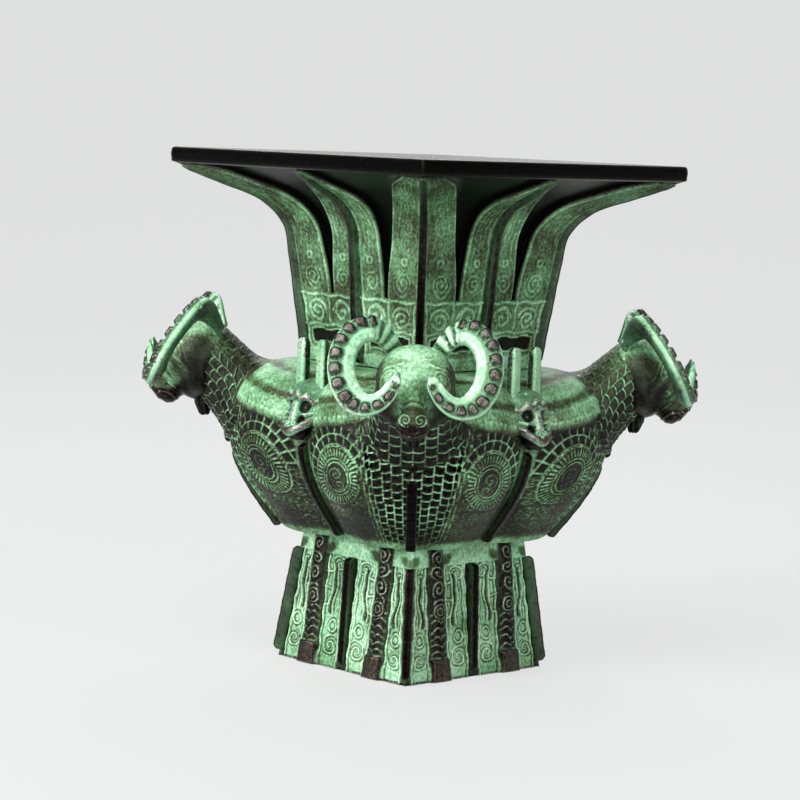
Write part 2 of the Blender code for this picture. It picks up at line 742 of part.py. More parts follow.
def build_flanges(foot, belly, neck, dark):
    """The dark strips at the corners, the side centres and down the chests."""
    at_corners = [(place, corner_turn(i)) for i, place in enumerate(CORNERS)]
    at_sides = [(place, side_turn(i)) for i, place in enumerate(SIDES)]
    corner, side, tip = CORNER_FLANGE_PROUD, SIDE_FLANGE_PROUD, FLANGE_TIP_PROUD
    thick = FLANGE_THICKNESS

    foot_top = FOOT_HEIGHT - LEG_TOP_DROP
    foot_heights = (HOOF_HEIGHT / 4, foot_top / 2, foot_top)
    side_path = [(foot_half_side(z), z) for z in foot_heights]
    corner_path = [(half * DIAGONAL, z) for half, z in side_path]
    flanges("foot_corner_flange", corner_path, corner, corner, thick, at_corners, foot, dark)
    flanges("foot_side_flange", side_path, tip, side, thick, at_sides, foot, dark)

    snout = BEAST_TOP_SHARE - (BEAST_DROP + 2 * FIT_GAP) / BELLY_HEIGHT
    chest_path = belly_path(QUARTER / 2, 0.02, 0.44, 6)
    valley_path = belly_path(0.0, 0.04, snout - 0.01, 7)
    flanges("chest_fin", chest_path, FIN_PROUD, tip, FIN_THICKNESS, at_corners, belly, dark)
    flanges("belly_side_flange", valley_path, side, side, thick, at_sides, belly, dark)

    low, high = NECK_Z + FLANGE_SEAT, RIM_Z - RIM_EDGE - FLANGE_SEAT
    side_path = path_between(neck_path(), low, high)
    corner_path = [(half * DIAGONAL, z) for half, z in side_path]
    flanges("neck_corner_flange", corner_path, corner, tip, thick, at_corners, neck, dark)
    flanges("neck_side_flange", side_path, side, tip, thick, at_sides, neck, dark)


for item in list(bpy.data.objects):
    bpy.data.objects.remove(item, do_unlink=True)

PARTS = new_collection("Four-ram zun")
CUTTERS = new_collection("Cutters")

verdigris = new_material("verdigris bronze", VERDIGRIS, 0.55, 0.35)
dark_bronze = new_material("dark bronze", DARK_BRONZE, 0.42, 0.70)
rubbed_bronze = new_material("rubbed green bronze", RUBBED_GREEN, 0.45, 0.45)

foot_casting = build_foot(verdigris)
build_floor(dark_bronze)
belly_casting = build_belly(verdigris)
neck_casting = build_neck(verdigris)
build_rams(belly_casting, verdigris, rubbed_bronze)
build_beasts(belly_casting, rubbed_bronze)
build_flanges(foot_casting, belly_casting, neck_casting, dark_bronze)
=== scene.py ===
"""Bronze zun with four rams, dressed for the render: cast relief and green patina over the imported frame.

Sections follow the vessel as it is put together, from the foot upwards. Sizes are in millimetres;
the front faces -Y, and the rams stand on the diagonals.
"""

import math

import bpy
import numpy as np
from mathutils import Matrix, Vector


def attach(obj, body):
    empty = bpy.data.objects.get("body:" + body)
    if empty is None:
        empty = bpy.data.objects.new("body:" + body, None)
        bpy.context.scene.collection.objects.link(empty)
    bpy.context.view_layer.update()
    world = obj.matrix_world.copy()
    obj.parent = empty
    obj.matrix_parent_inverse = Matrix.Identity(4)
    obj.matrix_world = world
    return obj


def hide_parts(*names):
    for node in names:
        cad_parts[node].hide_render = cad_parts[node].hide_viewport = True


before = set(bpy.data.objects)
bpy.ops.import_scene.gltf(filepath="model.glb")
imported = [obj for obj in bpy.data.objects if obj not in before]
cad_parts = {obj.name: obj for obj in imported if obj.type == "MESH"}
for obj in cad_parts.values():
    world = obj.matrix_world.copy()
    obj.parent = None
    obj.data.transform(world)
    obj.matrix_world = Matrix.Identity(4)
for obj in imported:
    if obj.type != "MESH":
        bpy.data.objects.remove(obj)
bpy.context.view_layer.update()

# Foot
# A hollow four-sided bronze stand, cast in one with the rams' front legs standing in relief.
# Its panels carry flat scroll work with ring eyes; the hooves below are rubbed bare.

FOOT_HEIGHT = 39.0
FOOT_BASE_HALF = 27.6
FOOT_TOP_HALF = 23.1
FOOT_WALL = 3.0
FOOT_CEILING_HALF = 22.3
FOOT_BAND_Z = 33.2
FOOT_COLUMNS, FOOT_ROWS = 164, 128
LEG_CENTRE = 14.1
LEG_HALF = 2.9
LEG_TOP = 38.6
LEG_GAP, SIDE_GAP, CORNER_GAP = 0.3, 1.6, 1.7
KNEE_Z, KNEE_RADIUS = 20.2, 2.9
LEG_RELIEF = 1.6
HOOF_HEIGHT = 7.5
HOOF_HALF = 3.2
HOOF_RELIEF = 2.2
LINE_RELIEF = 0.45


def linear(code):
    """A linear colour from an sRGB hex value."""
    parts = [int(code[i : i + 2], 16) / 255 for i in (1, 3, 5)]
    return (*(c / 12.92 if c <= 0.04045 else ((c + 0.055) / 1.055) ** 2.4 for c in parts), 1.0)


def add_node(tree, kind, links=(), stops=(), **settings):
    """A shader node with its settings; inputs take a value or a link, and a ramp its (place, hex) stops."""
    made = tree.nodes.new(kind)
    for name, value in settings.items():
        setattr(made, name, value)
    for socket, value in dict(links).items():
        if isinstance(value, bpy.types.NodeSocket):
            tree.links.new(value, made.inputs[socket])
        else:
            made.inputs[socket].default_value = value
    for i, (place, code) in enumerate(stops):
        elements = made.color_ramp.elements
        stop = elements[i] if i < len(elements) else elements.new(place)
        stop.position, stop.color = place, linear(code)
    return made


def ease(distance, width=1.0):
    """An eased step from 0 to 1 over a width."""
    share = np.clip(distance / width, 0, 1)
    return share * share * (3.0 - 2.0 * share)


def most(first, *others):
    """The highest of some layers at each point."""
    for other in others:
        first = np.maximum(first, other)
    return first


def mix(start, end, share):
    """A value that lies a share of the way from one to another."""
    return start + (end - start) * share


def unit(vectors):
    """Vectors of length one."""
    return vectors / most(np.linalg.norm(vectors, axis=-1, keepdims=True), 1e-9)


def ridge(distance, half):
    """The height, 0 to 1, of a round-shouldered cast line at a distance from its middle."""
    return ease(half - abs(distance), 0.8 * half)


def spiral(x, y, radius, pitch, hand=1.0):
    """The distance to a spiral line that fills a disc."""
    reach = np.hypot(x, y)
    turn = np.arctan2(hand * y, x) / math.tau
    away = abs((reach / pitch - turn) % 1 - 0.5) * pitch
    return np.where(reach < radius, away, 9.0)


def repeated(value, step):
    """The signed distance to the nearest of evenly spaced places."""
    return (value / step + 0.5) % 1.0 * step - step / 2


def hand_cut(x, y):
    """Coordinates with the slight waver of lines cut by hand in the wax."""
    return x + 0.22 * np.sin(0.9 * y + 0.7 * x), y + 0.25 * np.sin(0.8 * x - 0.5 * y)


def raised(grid, height):
    """A grid, whose columns close into a ring, moved straight out of its surface."""
    across = np.roll(grid, -1, axis=1) - np.roll(grid, 1, axis=1)
    out = unit(np.cross(across, np.gradient(grid, axis=0)))
    from_middle = grid - grid.mean(axis=1, keepdims=True)
    return grid + out * (np.sign((from_middle * out).sum()) * height)[..., None]


def turned(grid, degrees):
    """Points turned about the vessel's axis, by one angle or an angle for each column."""
    c, s = np.cos(np.radians(degrees)), np.sin(np.radians(degrees))
    x, y, z = np.moveaxis(grid, -1, 0)
    return np.stack((x * c - y * s, x * s + y * c, z), axis=-1)


def add_mesh(name, points, faces, material):
    """A smooth-shaded mesh of one material, in the scene."""
    mesh = bpy.data.meshes.new(name)
    mesh.from_pydata(points, [], faces)
    mesh.shade_smooth()
    mesh.materials.append(material)
    made = bpy.data.objects.new(name, mesh)
    bpy.context.scene.collection.objects.link(made)
    return made


def cast(name, shells, material, node, looped=False):
    """One cast piece from shells of (grid, relief, bare), ridden and put in a node's place.

    Relief is 1 on a raised line and 0 on the ground; bare is 1 where no green is left. A looped
    piece's last row meets its first; another has its two ends closed.
    """
    points, faces, layers = [], [], {"relief": [], "bare": []}
    start = 0
    for grid, relief, bare in shells:
        rows, columns = grid.shape[:2]
        index = start + np.arange(rows * columns).reshape(rows, columns)
        below = index if looped else index[:-1]
        above = np.roll(index, -1, axis=0) if looped else index[1:]
        quads = np.stack((below, np.roll(below, -1, axis=1), np.roll(above, -1, axis=1), above), axis=-1)
        quads = quads.reshape(-1, 4)
        caps = [] if looped else [index[0][::-1].tolist(), index[-1].tolist()]
        a, b, c, d = (grid.reshape(-1, 3)[quads[:, k] - start] for k in range(4))
        if np.einsum("ij,ij->i", a, np.cross(b, c) + np.cross(c, d)).sum() < 0:
            quads, caps = quads[:, ::-1], [cap[::-1] for cap in caps]
        faces += quads.tolist() + caps
        points.append(grid.reshape(-1, 3))
        for layer, values in (("relief", relief), ("bare", bare)):
            layers[layer].append(np.broadcast_to(values, (rows, columns)).ravel())
        start += rows * columns
    piece = add_mesh(name, np.concatenate(points) * 0.001, faces, material)
    for layer, values in layers.items():
        data = piece.data.attributes.new(layer, "FLOAT", "POINT").data
        data.foreach_set("value", np.concatenate(values).astype(np.float32))
    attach(piece, "root")
    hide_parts(node)


def patina(name, greens, browns, roughness, speck_mm):
    """Bronze, lost-wax cast, greened with acid and waxed: pale on raised lines, near black in the ground.

    Bare places show the brown metal, rubbed grey on their high points. Convex edges are paler, partly as
    wear and partly as painted highlight, and creases darker as painted shade. The clouds are about 11 mm
    across, the drift of the green about 30 mm and the specks under 2 mm.
    """
    material = bpy.data.materials.new(name)
    material.use_nodes = True
    tree = material.node_tree
    shader = tree.nodes["Principled BSDF"]
    place = add_node(tree, "ShaderNodeTexCoord").outputs["Object"]
    signals = {"edge": add_node(tree, "ShaderNodeNewGeometry").outputs["Pointiness"]}
    for layer in ("relief", "bare"):
        signals[layer] = add_node(tree, "ShaderNodeAttribute", attribute_name=layer).outputs["Fac"]
    for grain, size_mm in (("drift", 30.0), ("clouds", 11.0), ("specks", speck_mm), ("grit", 0.35)):
        noise = {"Vector": place, "Scale": 1000 / size_mm, "Detail": 5.0, "Roughness": 0.62}
        signals[grain] = add_node(tree, "ShaderNodeTexNoise", noise).outputs["Fac"]
    # Pointiness (edge) makes convex edges paler, as wear and as painted highlight, and creases darker as
    # painted shade.
    sums = (
        ("tone", -1.93, (("relief", 0.74), ("clouds", 0.90), ("specks", 0.80), ("edge", 2.2))),
        ("wear_and_highlight", -1.75, (("relief", 0.50), ("specks", 0.70), ("edge", 3.0))),
        ("loss", -3.95, (("bare", 3.57), ("specks", 3.93), ("clouds", 1.79))),
        ("worn", 0.0, (("loss", 1.0),)),
        ("hue", 0.535, (("drift", -0.07),)),
        ("saturation", 1.35, (("drift", -0.70),)),
        ("metal", 0.06, (("worn", 0.90),)),
        ("dullness", roughness - 0.175, (("worn", -0.14), ("grit", 0.35))),
        ("height", 0.0, (("specks", 1.0), ("grit", 0.4))),
    )
    for total, start, parts in sums:
        for signal, amount in parts:
            links = {0: signals[signal], 1: amount, 2: start}
            clamped = total == "worn"
            node = add_node(tree, "ShaderNodeMath", links, operation="MULTIPLY_ADD", use_clamp=clamped)
            start = node.outputs[0]
        signals[total] = start
    green = add_node(tree, "ShaderNodeValToRGB", {0: signals["tone"]}, stops=greens)
    shift = {"Hue": signals["hue"], "Saturation": signals["saturation"], "Color": green.outputs["Color"]}
    green = add_node(tree, "ShaderNodeHueSaturation", shift)
    brown = add_node(tree, "ShaderNodeValToRGB", {0: signals["wear_and_highlight"]}, stops=browns)
    layers = {0: signals["worn"], 6: green.outputs["Color"], 7: brown.outputs["Color"]}
    colour = add_node(tree, "ShaderNodeMix", layers, data_type="RGBA")
    dents = {"Height": signals["height"], "Strength": 0.55, "Distance": 0.00022}
    bump = add_node(tree, "ShaderNodeBump", dents)
    shader.inputs["Specular IOR Level"].default_value = 0.25
    for output, socket in (
        (colour.outputs[2], "Base Color"),
        (signals["metal"], "Metallic"),
        (signals["dullness"], "Roughness"),
        (bump.outputs["Normal"], "Normal"),
    ):
        tree.links.new(output, shader.inputs[socket])
    return material


green_patina = patina(
    "green patinated bronze",
    greens=(
        (0.0, "#040402"), (0.17, "#14150b"), (0.36, "#3a452c"),
        (0.56, "#608a61"), (0.76, "#95c49c"), (1.0, "#cfe9d1"),
    ),
    browns=((0.15, "#040303"), (0.42, "#19130f"), (0.70, "#544b44"), (1.0, "#b0a8a0")),
    roughness=0.48,
    speck_mm=0.9,
)


def foot_half(z):
    """Half the foot's side at a height."""
    return mix(FOOT_BASE_HALF, FOOT_TOP_HALF, z / FOOT_HEIGHT)


def scroll_panel(x, z, half):
    """A foot panel, a hooked body with a ring eye and curled ends, as lines and the sunk grooves beside
    them, which carry painted shade.
    """
    x, z = hand_cut(x, z)
    body = x - 0.15 * half - 0.6 * np.sin((z - 12.0) * 0.36)
    upright = ease(z - 15.0, 0.8) * ease(30.5 - z, 0.8)
    eye = np.hypot(x + 0.15 * half, z - 12.2)
    strokes = (
        (abs(body) - 1.0, upright),
        (x + 0.66 * half, ease(z - 9.0, 0.8)),
        (repeated(z - 18.0, 5.0), ease(body - 0.8, 0.4) * upright),
        (eye - 1.6, 1.0),
        (spiral(x + 0.1 * half, z - 6.4, 0.72 * half, 1.9), 1.0),
        (spiral(x + 0.2 * half, z - 30.2, 0.6 * half, 1.9, -1.0), 1.0),
        (half - abs(x) - 0.8, 1.0),
    )
    lines, spread = (most(*[ridge(away, reach) * drawn for away, drawn in strokes]) for reach in (0.48, 1.0))
    slot = ease(0.6 - abs(body), 0.3) * upright
    edge = ease(0.5 - half + abs(x), 0.3)
    return lines, most(spread - lines, slot, edge)


def foot_relief(x, z):
    """Height in mm, line and bareness over one side of the foot."""
    half = foot_half(z)
    out = abs(x)
    from_leg = abs(out - LEG_CENTRE)
    leg = ease((LEG_HALF - from_leg) / 0.7 + 0.5) * ease(LEG_TOP - z, 1.2)
    spread = HOOF_HALF + 0.5 * (1 - z / HOOF_HEIGHT)
    hoof = ease((spread - from_leg) / 0.7 + 0.5) * ease(HOOF_HEIGHT - z, 1.6)
    hoof_edge = ease(from_leg - spread + 1.1, 0.6)
    leg = leg * (1 - hoof)
    inner_half = (LEG_CENTRE - LEG_HALF - LEG_GAP - SIDE_GAP) / 2
    outer_half = (half - CORNER_GAP - LEG_CENTRE - LEG_HALF - LEG_GAP) / 2
    inner, inner_grooves_and_shade = scroll_panel(out - SIDE_GAP - inner_half, z, inner_half)
    outer, outer_grooves_and_shade = scroll_panel(half - CORNER_GAP - outer_half - out, z, outer_half)
    below = ease(FOOT_BAND_Z - z, 0.6) * (1 - leg) * (1 - hoof)
    panel = np.where(out < LEG_CENTRE, inner, outer) * below
    grooves_and_shade = np.where(out < LEG_CENTRE, inner_grooves_and_shade, outer_grooves_and_shade) * below
    plain = ease(z - FOOT_BAND_Z + 0.6, 0.6) * (1 - leg)
    # Darker, browner blotches across the plain band.
    dark_blotches = ease(1.8 * np.sin(0.5 * out - 1.2 + 0.3 * z) * np.sin(0.6 * (z - 32.0)) - 0.5) * plain
    u, v = hand_cut(out - LEG_CENTRE, z)
    scallops = ridge(repeated(v + 0.5 * (abs(u) - 1.4) ** 2, 2.2), 0.42)
    hooks = ridge(spiral(u, repeated(v - 26.5, 4.6), 2.4, 1.5, np.sign(x)), 0.45)
    knee = np.hypot(u, v - KNEE_Z)
    rings = ridge(repeated(knee, 1.1), 0.4)
    curls = np.where(knee < KNEE_RADIUS, rings, np.where(v > KNEE_Z, hooks, scallops)) * leg
    rounded = 0.45 + 0.55 * np.clip(1 - (from_leg / LEG_HALF) ** 2, 0, 1)
    height = LEG_RELIEF * leg * rounded + (HOOF_RELIEF - 0.12 * from_leg) * hoof
    height = height + LINE_RELIEF * (0.7 * panel + plain + 0.8 * curls - 0.9 * grooves_and_shade)
    # Grooves, slots and panel edges are darker and browner: painted shade in them and painted shadow of the
    # legs and flanges.
    relief = (0.88 + 0.1 * panel - 0.5 * grooves_and_shade) * below + (0.94 - 0.45 * dark_blotches) * plain
    relief = relief + (0.3 + 0.8 * curls) * leg + (1 - 0.4 * hoof_edge) * hoof
    rubbed = 0.5 * ease(1.2 - z, 0.5)
    bare = most(leg * (0.5 + 0.08 * curls), hoof, rubbed, 0.34 * grooves_and_shade, 0.3 * dark_blotches)
    return height, relief, bare


def square_grid(half, z, share):
    """Points round a square vessel: rows by half side and height, columns by share of each side."""
    half, z = np.broadcast_arrays(half * np.ones_like(share), z)
    turns = np.repeat((-90.0, 0.0, 90.0, 180.0), share.shape[-1] // 4)
    return turned(np.stack((half, share * half, z), axis=-1), turns)


def square_rows(path, share):
    """Plain rows of points round a square vessel, one for each (half side, height) of a path."""
    half, z = np.array(path).T[:, :, None]
    return square_grid(half, z, share)


def cast_hollow(name, outside, inside, relief, bare, node):
    """A hollow green casting: its worked outside, closed by plain rows of dark bare metal inside."""
    plain = np.zeros(inside.shape[:2])
    relief, bare = np.concatenate((relief, plain)), np.concatenate((bare, plain + 1.0))
    shell = (np.concatenate((outside, inside)), relief, bare)
    cast(name, [shell], green_patina, node, looped=True)


share = np.tile(np.linspace(-1.0, 1.0, FOOT_COLUMNS, endpoint=False), 4)
z = np.linspace(0.0, FOOT_HEIGHT, FOOT_ROWS)[:, None]
half = foot_half(z)
height, relief, bare = foot_relief(share * half, z * np.ones_like(share))
corner = ease((1 - abs(share)) * half / 0.6)
outside = raised(square_grid(half, z, share), height * corner)
outside[..., 2] = most(outside[..., 2], 0)
hollow = (
    (FOOT_TOP_HALF - FOOT_WALL, FOOT_HEIGHT),
    (FOOT_TOP_HALF - 2 * FOOT_WALL, FOOT_HEIGHT - FOOT_WALL),
    (FOOT_CEILING_HALF, FOOT_HEIGHT - 2 * FOOT_WALL),
    (FOOT_BASE_HALF - FOOT_WALL, 0.0),
)
cast_hollow("foot", outside, square_rows(hollow, share), relief, bare, "foot_casting")

# Floor plate
# A plain bronze plate that closes the belly. It is laid on a ledge inside and left dark, and is
# seen only down the throat.

dark_bronze = patina(
    "dark brown bronze",
    greens=((0.0, "#060605"), (0.25, "#181c15"), (0.5, "#3a5039"), (0.75, "#6a956c"), (1.0, "#a6cfa8")),
    browns=((0.1, "#050303"), (0.35, "#120c0a"), (0.65, "#3d3029"), (1.0, "#9a8d80")),
    roughness=0.42,
    speck_mm=1.4,
)
plate_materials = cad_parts["floor_plate"].data.materials
plate_materials.clear()
plate_materials.append(dark_bronze)

# Belly
# Four ram chests run together in one bronze casting that sits on the foot's spigot. A scale net
# covers each chest, a feathered oval each flank under a band of brick cells; plain strips border
# the valleys, and scrolls fill the ground.

BELLY_Z = 39.3
BELLY_HEIGHT = 49.7
CHEST_REACH, CHEST_FOOT_REACH = 56.2, 38.2
SIDE_REACH, SIDE_FOOT_REACH = 43.7, 26.4
LOBE_POWER = 1.7
WIDEST_SHARE = 0.62
SHOULDER_POWER, SHOULDER_ROUND = 3.2, 0.45
COLLAR_HALF = 24.5
NECK_OPENING = 22.4
FOOT_OPENING = 20.3
COLLAR_SEAT_Z = 85.4
LEDGE_HALF, LEDGE_LOW_Z, LEDGE_HIGH_Z = 23.0, 41.9, 45.0
BELLY_WALL = 9.7
BELLY_LINE = 0.5
NET_COLUMNS, SCALE_HEIGHT = 4.5, 2.8
OVAL_SIDE, OVAL_UP = 22.6, 26.2
OVAL_HALF_WIDTH, OVAL_HALF_HEIGHT = 6.8, 9.0
OVAL_STROKES = 38
BRICK = 2.5
CURL_STEP = 3.2
SHOULDER_UP, ROLL_UP, ROLL_STEP = 42.6, 46.6, 7.6
VALLEY_REACH, STRIP_WIDTH = 46.0, 3.9
CHEST_STRETCH = 1.04
EIGHTH = math.pi / 4


def belly_reach(angle, share):
    """How far the belly reaches in a direction, at a share of its height."""
    from_side = abs((angle + EIGHTH) % (2 * EIGHTH) - EIGHTH)
    swell = 1 - (1 - from_side / EIGHTH) ** LOBE_POWER
    widest = mix(SIDE_REACH, CHEST_REACH, swell)
    low = mix(SIDE_FOOT_REACH, CHEST_FOOT_REACH, swell)
    rise = np.sin(math.pi / 2 * np.minimum(share, WIDEST_SHARE) / WIDEST_SHARE)
    over = np.clip((share - WIDEST_SHARE) / (1 - WIDEST_SHARE), 0, 1)
    collar = COLLAR_HALF / most(abs(np.cos(angle)), abs(np.sin(angle)))
    upper = mix(collar, widest, (1 - over**SHOULDER_POWER) ** SHOULDER_ROUND)
    return np.where(share <= WIDEST_SHARE, mix(low, widest, rise), upper)


def scale_net(cell, width, y):
    """A net of scales in columns counted by cell: upright lines and a sagging stroke under each."""
    column = np.floor(cell)
    across = cell - column - 0.5
    down_line = (0.5 - abs(across)) * width
    hang = y + SCALE_HEIGHT * (0.16 - 0.6 * across**2 - 0.12 * across + (column % 2) * 0.4)
    return most(0.8 * ridge(down_line, 0.36), ridge(repeated(hang, SCALE_HEIGHT), 0.38))


def feather_oval(x, y):
    """A hooked scroll in a double ring, feather strokes round it, then rows of brick cells over its top."""
    mean = math.sqrt(OVAL_HALF_WIDTH * OVAL_HALF_HEIGHT)
    u, v = x / OVAL_HALF_WIDTH, y / OVAL_HALF_HEIGHT
    reach, angle = np.hypot(u, v), np.arctan2(v, u)
    curl = ridge(spiral(x - 0.3, y - 1.0, 2.4, 1.5, -1.0), 0.38)
    hook = ridge(spiral(x + 0.2, y + 2.4, 1.9, 1.3), 0.36)
    rings = most(ridge(abs(reach - 0.53) * mean, 0.34), ridge(abs(reach - 0.65) * mean, 0.34))
    stroke = abs(repeated(angle, math.tau / OVAL_STROKES)) * reach * mean
    strokes = ridge(stroke, 0.42) * ease((reach - 0.69) * mean / 0.4) * ease((1 - reach) * mean / 0.4)
    border = ridge(abs(reach - 1.04) * mean, 0.36)
    row = np.floor((reach - 1.1) * mean / BRICK)
    brick = np.minimum(
        abs(repeated(angle * (1.1 + row * 0.31) * mean + 0.5 * BRICK * row, BRICK)),
        abs(repeated((reach - 1.1) * mean, BRICK)),
    )
    inside = most(0.6 * curl, 0.6 * hook, rings, strokes, border)
    return inside, ridge(brick, 0.38), reach


def belly_relief(x, y, angle):
    """Height in mm, line and bareness over one chest; x runs from its middle, y up from its foot."""
    side = abs(x)
    out, up = hand_cut(side, y)
    net_half = 6.5 + 8.5 * np.clip(y / 36.0, 0.0, 1.2) ** 0.75
    net_width = net_half / NET_COLUMNS
    net = scale_net(side / net_width + 0.04 * np.sin(0.5 * y), net_width, y + 0.02 * side**2)
    in_net = ease(net_half - side, 0.5)
    tilt = math.radians(12.0)
    u, v = side - OVAL_SIDE, y - OVAL_UP
    u, v = u * math.cos(tilt) - v * math.sin(tilt), u * math.sin(tilt) + v * math.cos(tilt)
    oval, bricks, reach = feather_oval(u, v)
    medal = ease(1.08 - reach, 0.05)
    in_bricks = ease(v - 1.0, 1.5) * ease(1.72 - reach, 0.08) * (1 - medal)
    curl_row = np.floor(up / CURL_STEP)
    hand = np.where(curl_row % 2 == 0, 1.0, -1.0)
    shifted = repeated(out + CURL_STEP / 2 * (curl_row % 2), CURL_STEP)
    curls = ridge(spiral(shifted, up - (curl_row + 0.5) * CURL_STEP, CURL_STEP / 2, 1.1, hand), 0.34)
    lines = mix(0.2 + 0.36 * curls, 0.14 + 0.74 * oval, medal)
    lines = mix(lines, 0.06 + 0.75 * bricks, in_bricks)
    lines = mix(lines, net, in_net)
    lines = most(lines, 0.8 * ridge(side - net_half, 0.4))
    lines = most(lines, 0.7 * ridge(side - net_half - 1.3, 0.34))
    fold = y + 0.2 * (side - 14.0)
    shoulder = ease(fold - SHOULDER_UP, 0.8)
    rolls = ease(0.92 - abs(repeated(fold - ROLL_UP, ROLL_STEP)) / (ROLL_STEP / 2), 0.4)
    dots = ridge(np.hypot(repeated(out, 1.7), fold - 45.4), 0.75)
    lines = mix(lines, 0.46 + 0.34 * rolls + 0.2 * dots, shoulder)
    valley = (EIGHTH - abs(angle)) * VALLEY_REACH
    strip = ease(STRIP_WIDTH - valley, 0.6) * (1 - shoulder)
    lines = mix(lines, 0.62, strip)
    height = BELLY_LINE * lines * (1.0 + 0.8 * shoulder) + 0.35 * medal * (1 - in_net) * (1 - strip)
    # Darker and browner towards the foot of the belly: painted shade where it turns downwards.
    low_painted_shade = ease(16.0 - y, 14.0)
    relief = (0.02 + 0.9 * lines) * (1 - 0.4 * low_painted_shade)
    bare = (0.5 * in_net + 0.4 * in_bricks + 0.16 * medal) * (1 - lines) * (1 - shoulder)
    bare = most(bare, 0.4 * low_painted_shade * (1 - 0.5 * lines)) * (1 - strip)
    bare = bare + shoulder * (0.16 * (1 - rolls) + 0.25 * dots * rolls)
    mint = ease(4.4 - y, 3.0)
    return height, mix(relief, 0.74, mint), bare * (1 - mint)


def ring(count):
    """Even angles round a full turn."""
    return np.linspace(0.0, math.tau, count, endpoint=False)


def run_along(path):
    """How far along a path each of its points lies."""
    return np.concatenate(([0.0], np.cumsum(np.hypot(*np.diff(path, axis=0).T))))


def belly_path(direction, shares):
    """Reach and height up the belly in one direction."""
    return np.stack((belly_reach(np.array(direction), shares), BELLY_Z + BELLY_HEIGHT * shares), axis=1)


angle = ring(640)
belly_share = np.concatenate((np.linspace(0.0, 0.78, 116), np.linspace(0.79, 1.0, 24)))[:, None]


def polar_grid(reach, level):
    """Points round the belly: a row of reaches, one for each direction, at each level."""
    return np.stack((reach * np.cos(angle), reach * np.sin(angle), level + 0 * reach), axis=-1)


reach = belly_reach(angle, belly_share)
belly_climb = run_along(belly_path(EIGHTH, belly_share[:, 0]))[:, None]
from_chest = (angle % (math.pi / 2) - EIGHTH) * np.ones_like(belly_share)
across, up = from_chest * reach * CHEST_STRETCH, belly_climb * np.ones_like(angle)
height, relief, bare = belly_relief(across, up, from_chest)
height = height * ease(belly_share, 0.02) * ease(1 - belly_share, 0.02)
outside = raised(polar_grid(reach, BELLY_Z + BELLY_HEIGHT * belly_share), height)
square = 1.0 / most(abs(np.cos(angle)), abs(np.sin(angle)))
hollow = [(NECK_OPENING * square, BELLY_Z + BELLY_HEIGHT), (NECK_OPENING * square, COLLAR_SEAT_Z)]
for s in (0.86, 0.75, 0.6, 0.42, 0.24):
    hollow.append((belly_reach(angle, np.array(s)) - BELLY_WALL, BELLY_Z + BELLY_HEIGHT * s))
hollow += [(LEDGE_HALF * square, LEDGE_HIGH_Z), (LEDGE_HALF * square, LEDGE_LOW_Z)]
hollow += [(FOOT_OPENING * square, LEDGE_LOW_Z), (FOOT_OPENING * square, BELLY_Z)]
reaches, levels = (np.array(part) for part in zip(*hollow))
cast_hollow("belly", outside, polar_grid(reaches, levels[:, None]), relief, bare, "belly_casting")

# Neck
# A square bronze trumpet under a thick dark lip, its spigot let into the belly's collar. Raised leaf
# blades climb the corners and the middle of each side over black hollows; below them runs a band of
# hooked scrolls over plain bars.

NECK_Z = 89.3
RIM_Z = 150.3
RIM_HALF = 53.6
RIM_EDGE = 4.2
RIM_LAND = 3.0
BAND_TOP = 109.8
BAND_LINE_Z, HOOK_Z = 100.2, 104.2
BAR_Z, BAR_HALF = 97.0, 2.0
LEAF_HOOK_Z, LEAF_EYE_Z = 114.2, 120.6
SPIGOT_HALF, SPIGOT_Z = 22.0, 87.2
NECK_BASE = (23.5, NECK_Z)
NECK_BEND = (29.2, 134.8)
NECK_LIP = (RIM_HALF, RIM_Z - RIM_EDGE)
BEND_RADIUS = 17.0
NECK_WALL = 3.8
CORNER_BLADE = 12.8
SIDE_BLADE_HALF = 9.8
WEDGE_FOOT = 1.8
BLADE_DEPTH = 2.0


def neck_path(taper_rows, bend_rows, lip_rows):
    """Half side and height up the outside: a taper, a round bend and a straight lip."""
    base, bend, lip = (Vector(p) for p in (NECK_BASE, NECK_BEND, NECK_LIP))
    first, second = (bend - base).normalized(), (lip - bend).normalized()
    bend_angle = first.angle(second)
    start = bend - first * BEND_RADIUS * math.tan(bend_angle / 2)
    centre = start + Vector((first.y, -first.x)) * BEND_RADIUS
    path = [base.lerp(start, i / taper_rows) for i in range(taper_rows)]
    for i in range(bend_rows):
        path.append(centre + Matrix.Rotation(-bend_angle * i / bend_rows, 2) @ (start - centre))
    end = centre + Matrix.Rotation(-bend_angle, 2) @ (start - centre)
    path += [end.lerp(lip, i / lip_rows) for i in range(lip_rows + 1)]
    return np.array([tuple(p) for p in path])


def hooked_band(x, z, half):
    """The band under the blades: two facing hooks under one cap line, over a plain sunk bar."""
    x, z = hand_cut(x, z)
    frame_lines = most(ridge(z - BAND_TOP + 0.8, 0.6), ridge(z - BAND_LINE_Z, 0.5))
    posts = ridge(abs(x) - half + 0.5, 0.6) * ease(z - 92.0, 0.6)
    u = abs(x) - 0.48 * half
    hooks = ridge(spiral(u, z - HOOK_Z, 3.0, 2.2, np.where(x > 0, 1.0, -1.0)), 0.62)
    cap = ridge(np.hypot(u, z - 104.0) - 3.5, 0.5) * ease(z - 104.0, 0.8)
    stem = ridge(x, 0.5) * ease(z - 100.6, 0.5)
    bar = most(abs(x) - half + 2.2, abs(z - BAR_Z) - BAR_HALF)
    lines = most(frame_lines, posts, hooks, cap, stem, ridge(bar, 0.45))
    return most(lines, 0.75 * ease(93.4 - z, 0.5)), ease(-bar / 0.5)


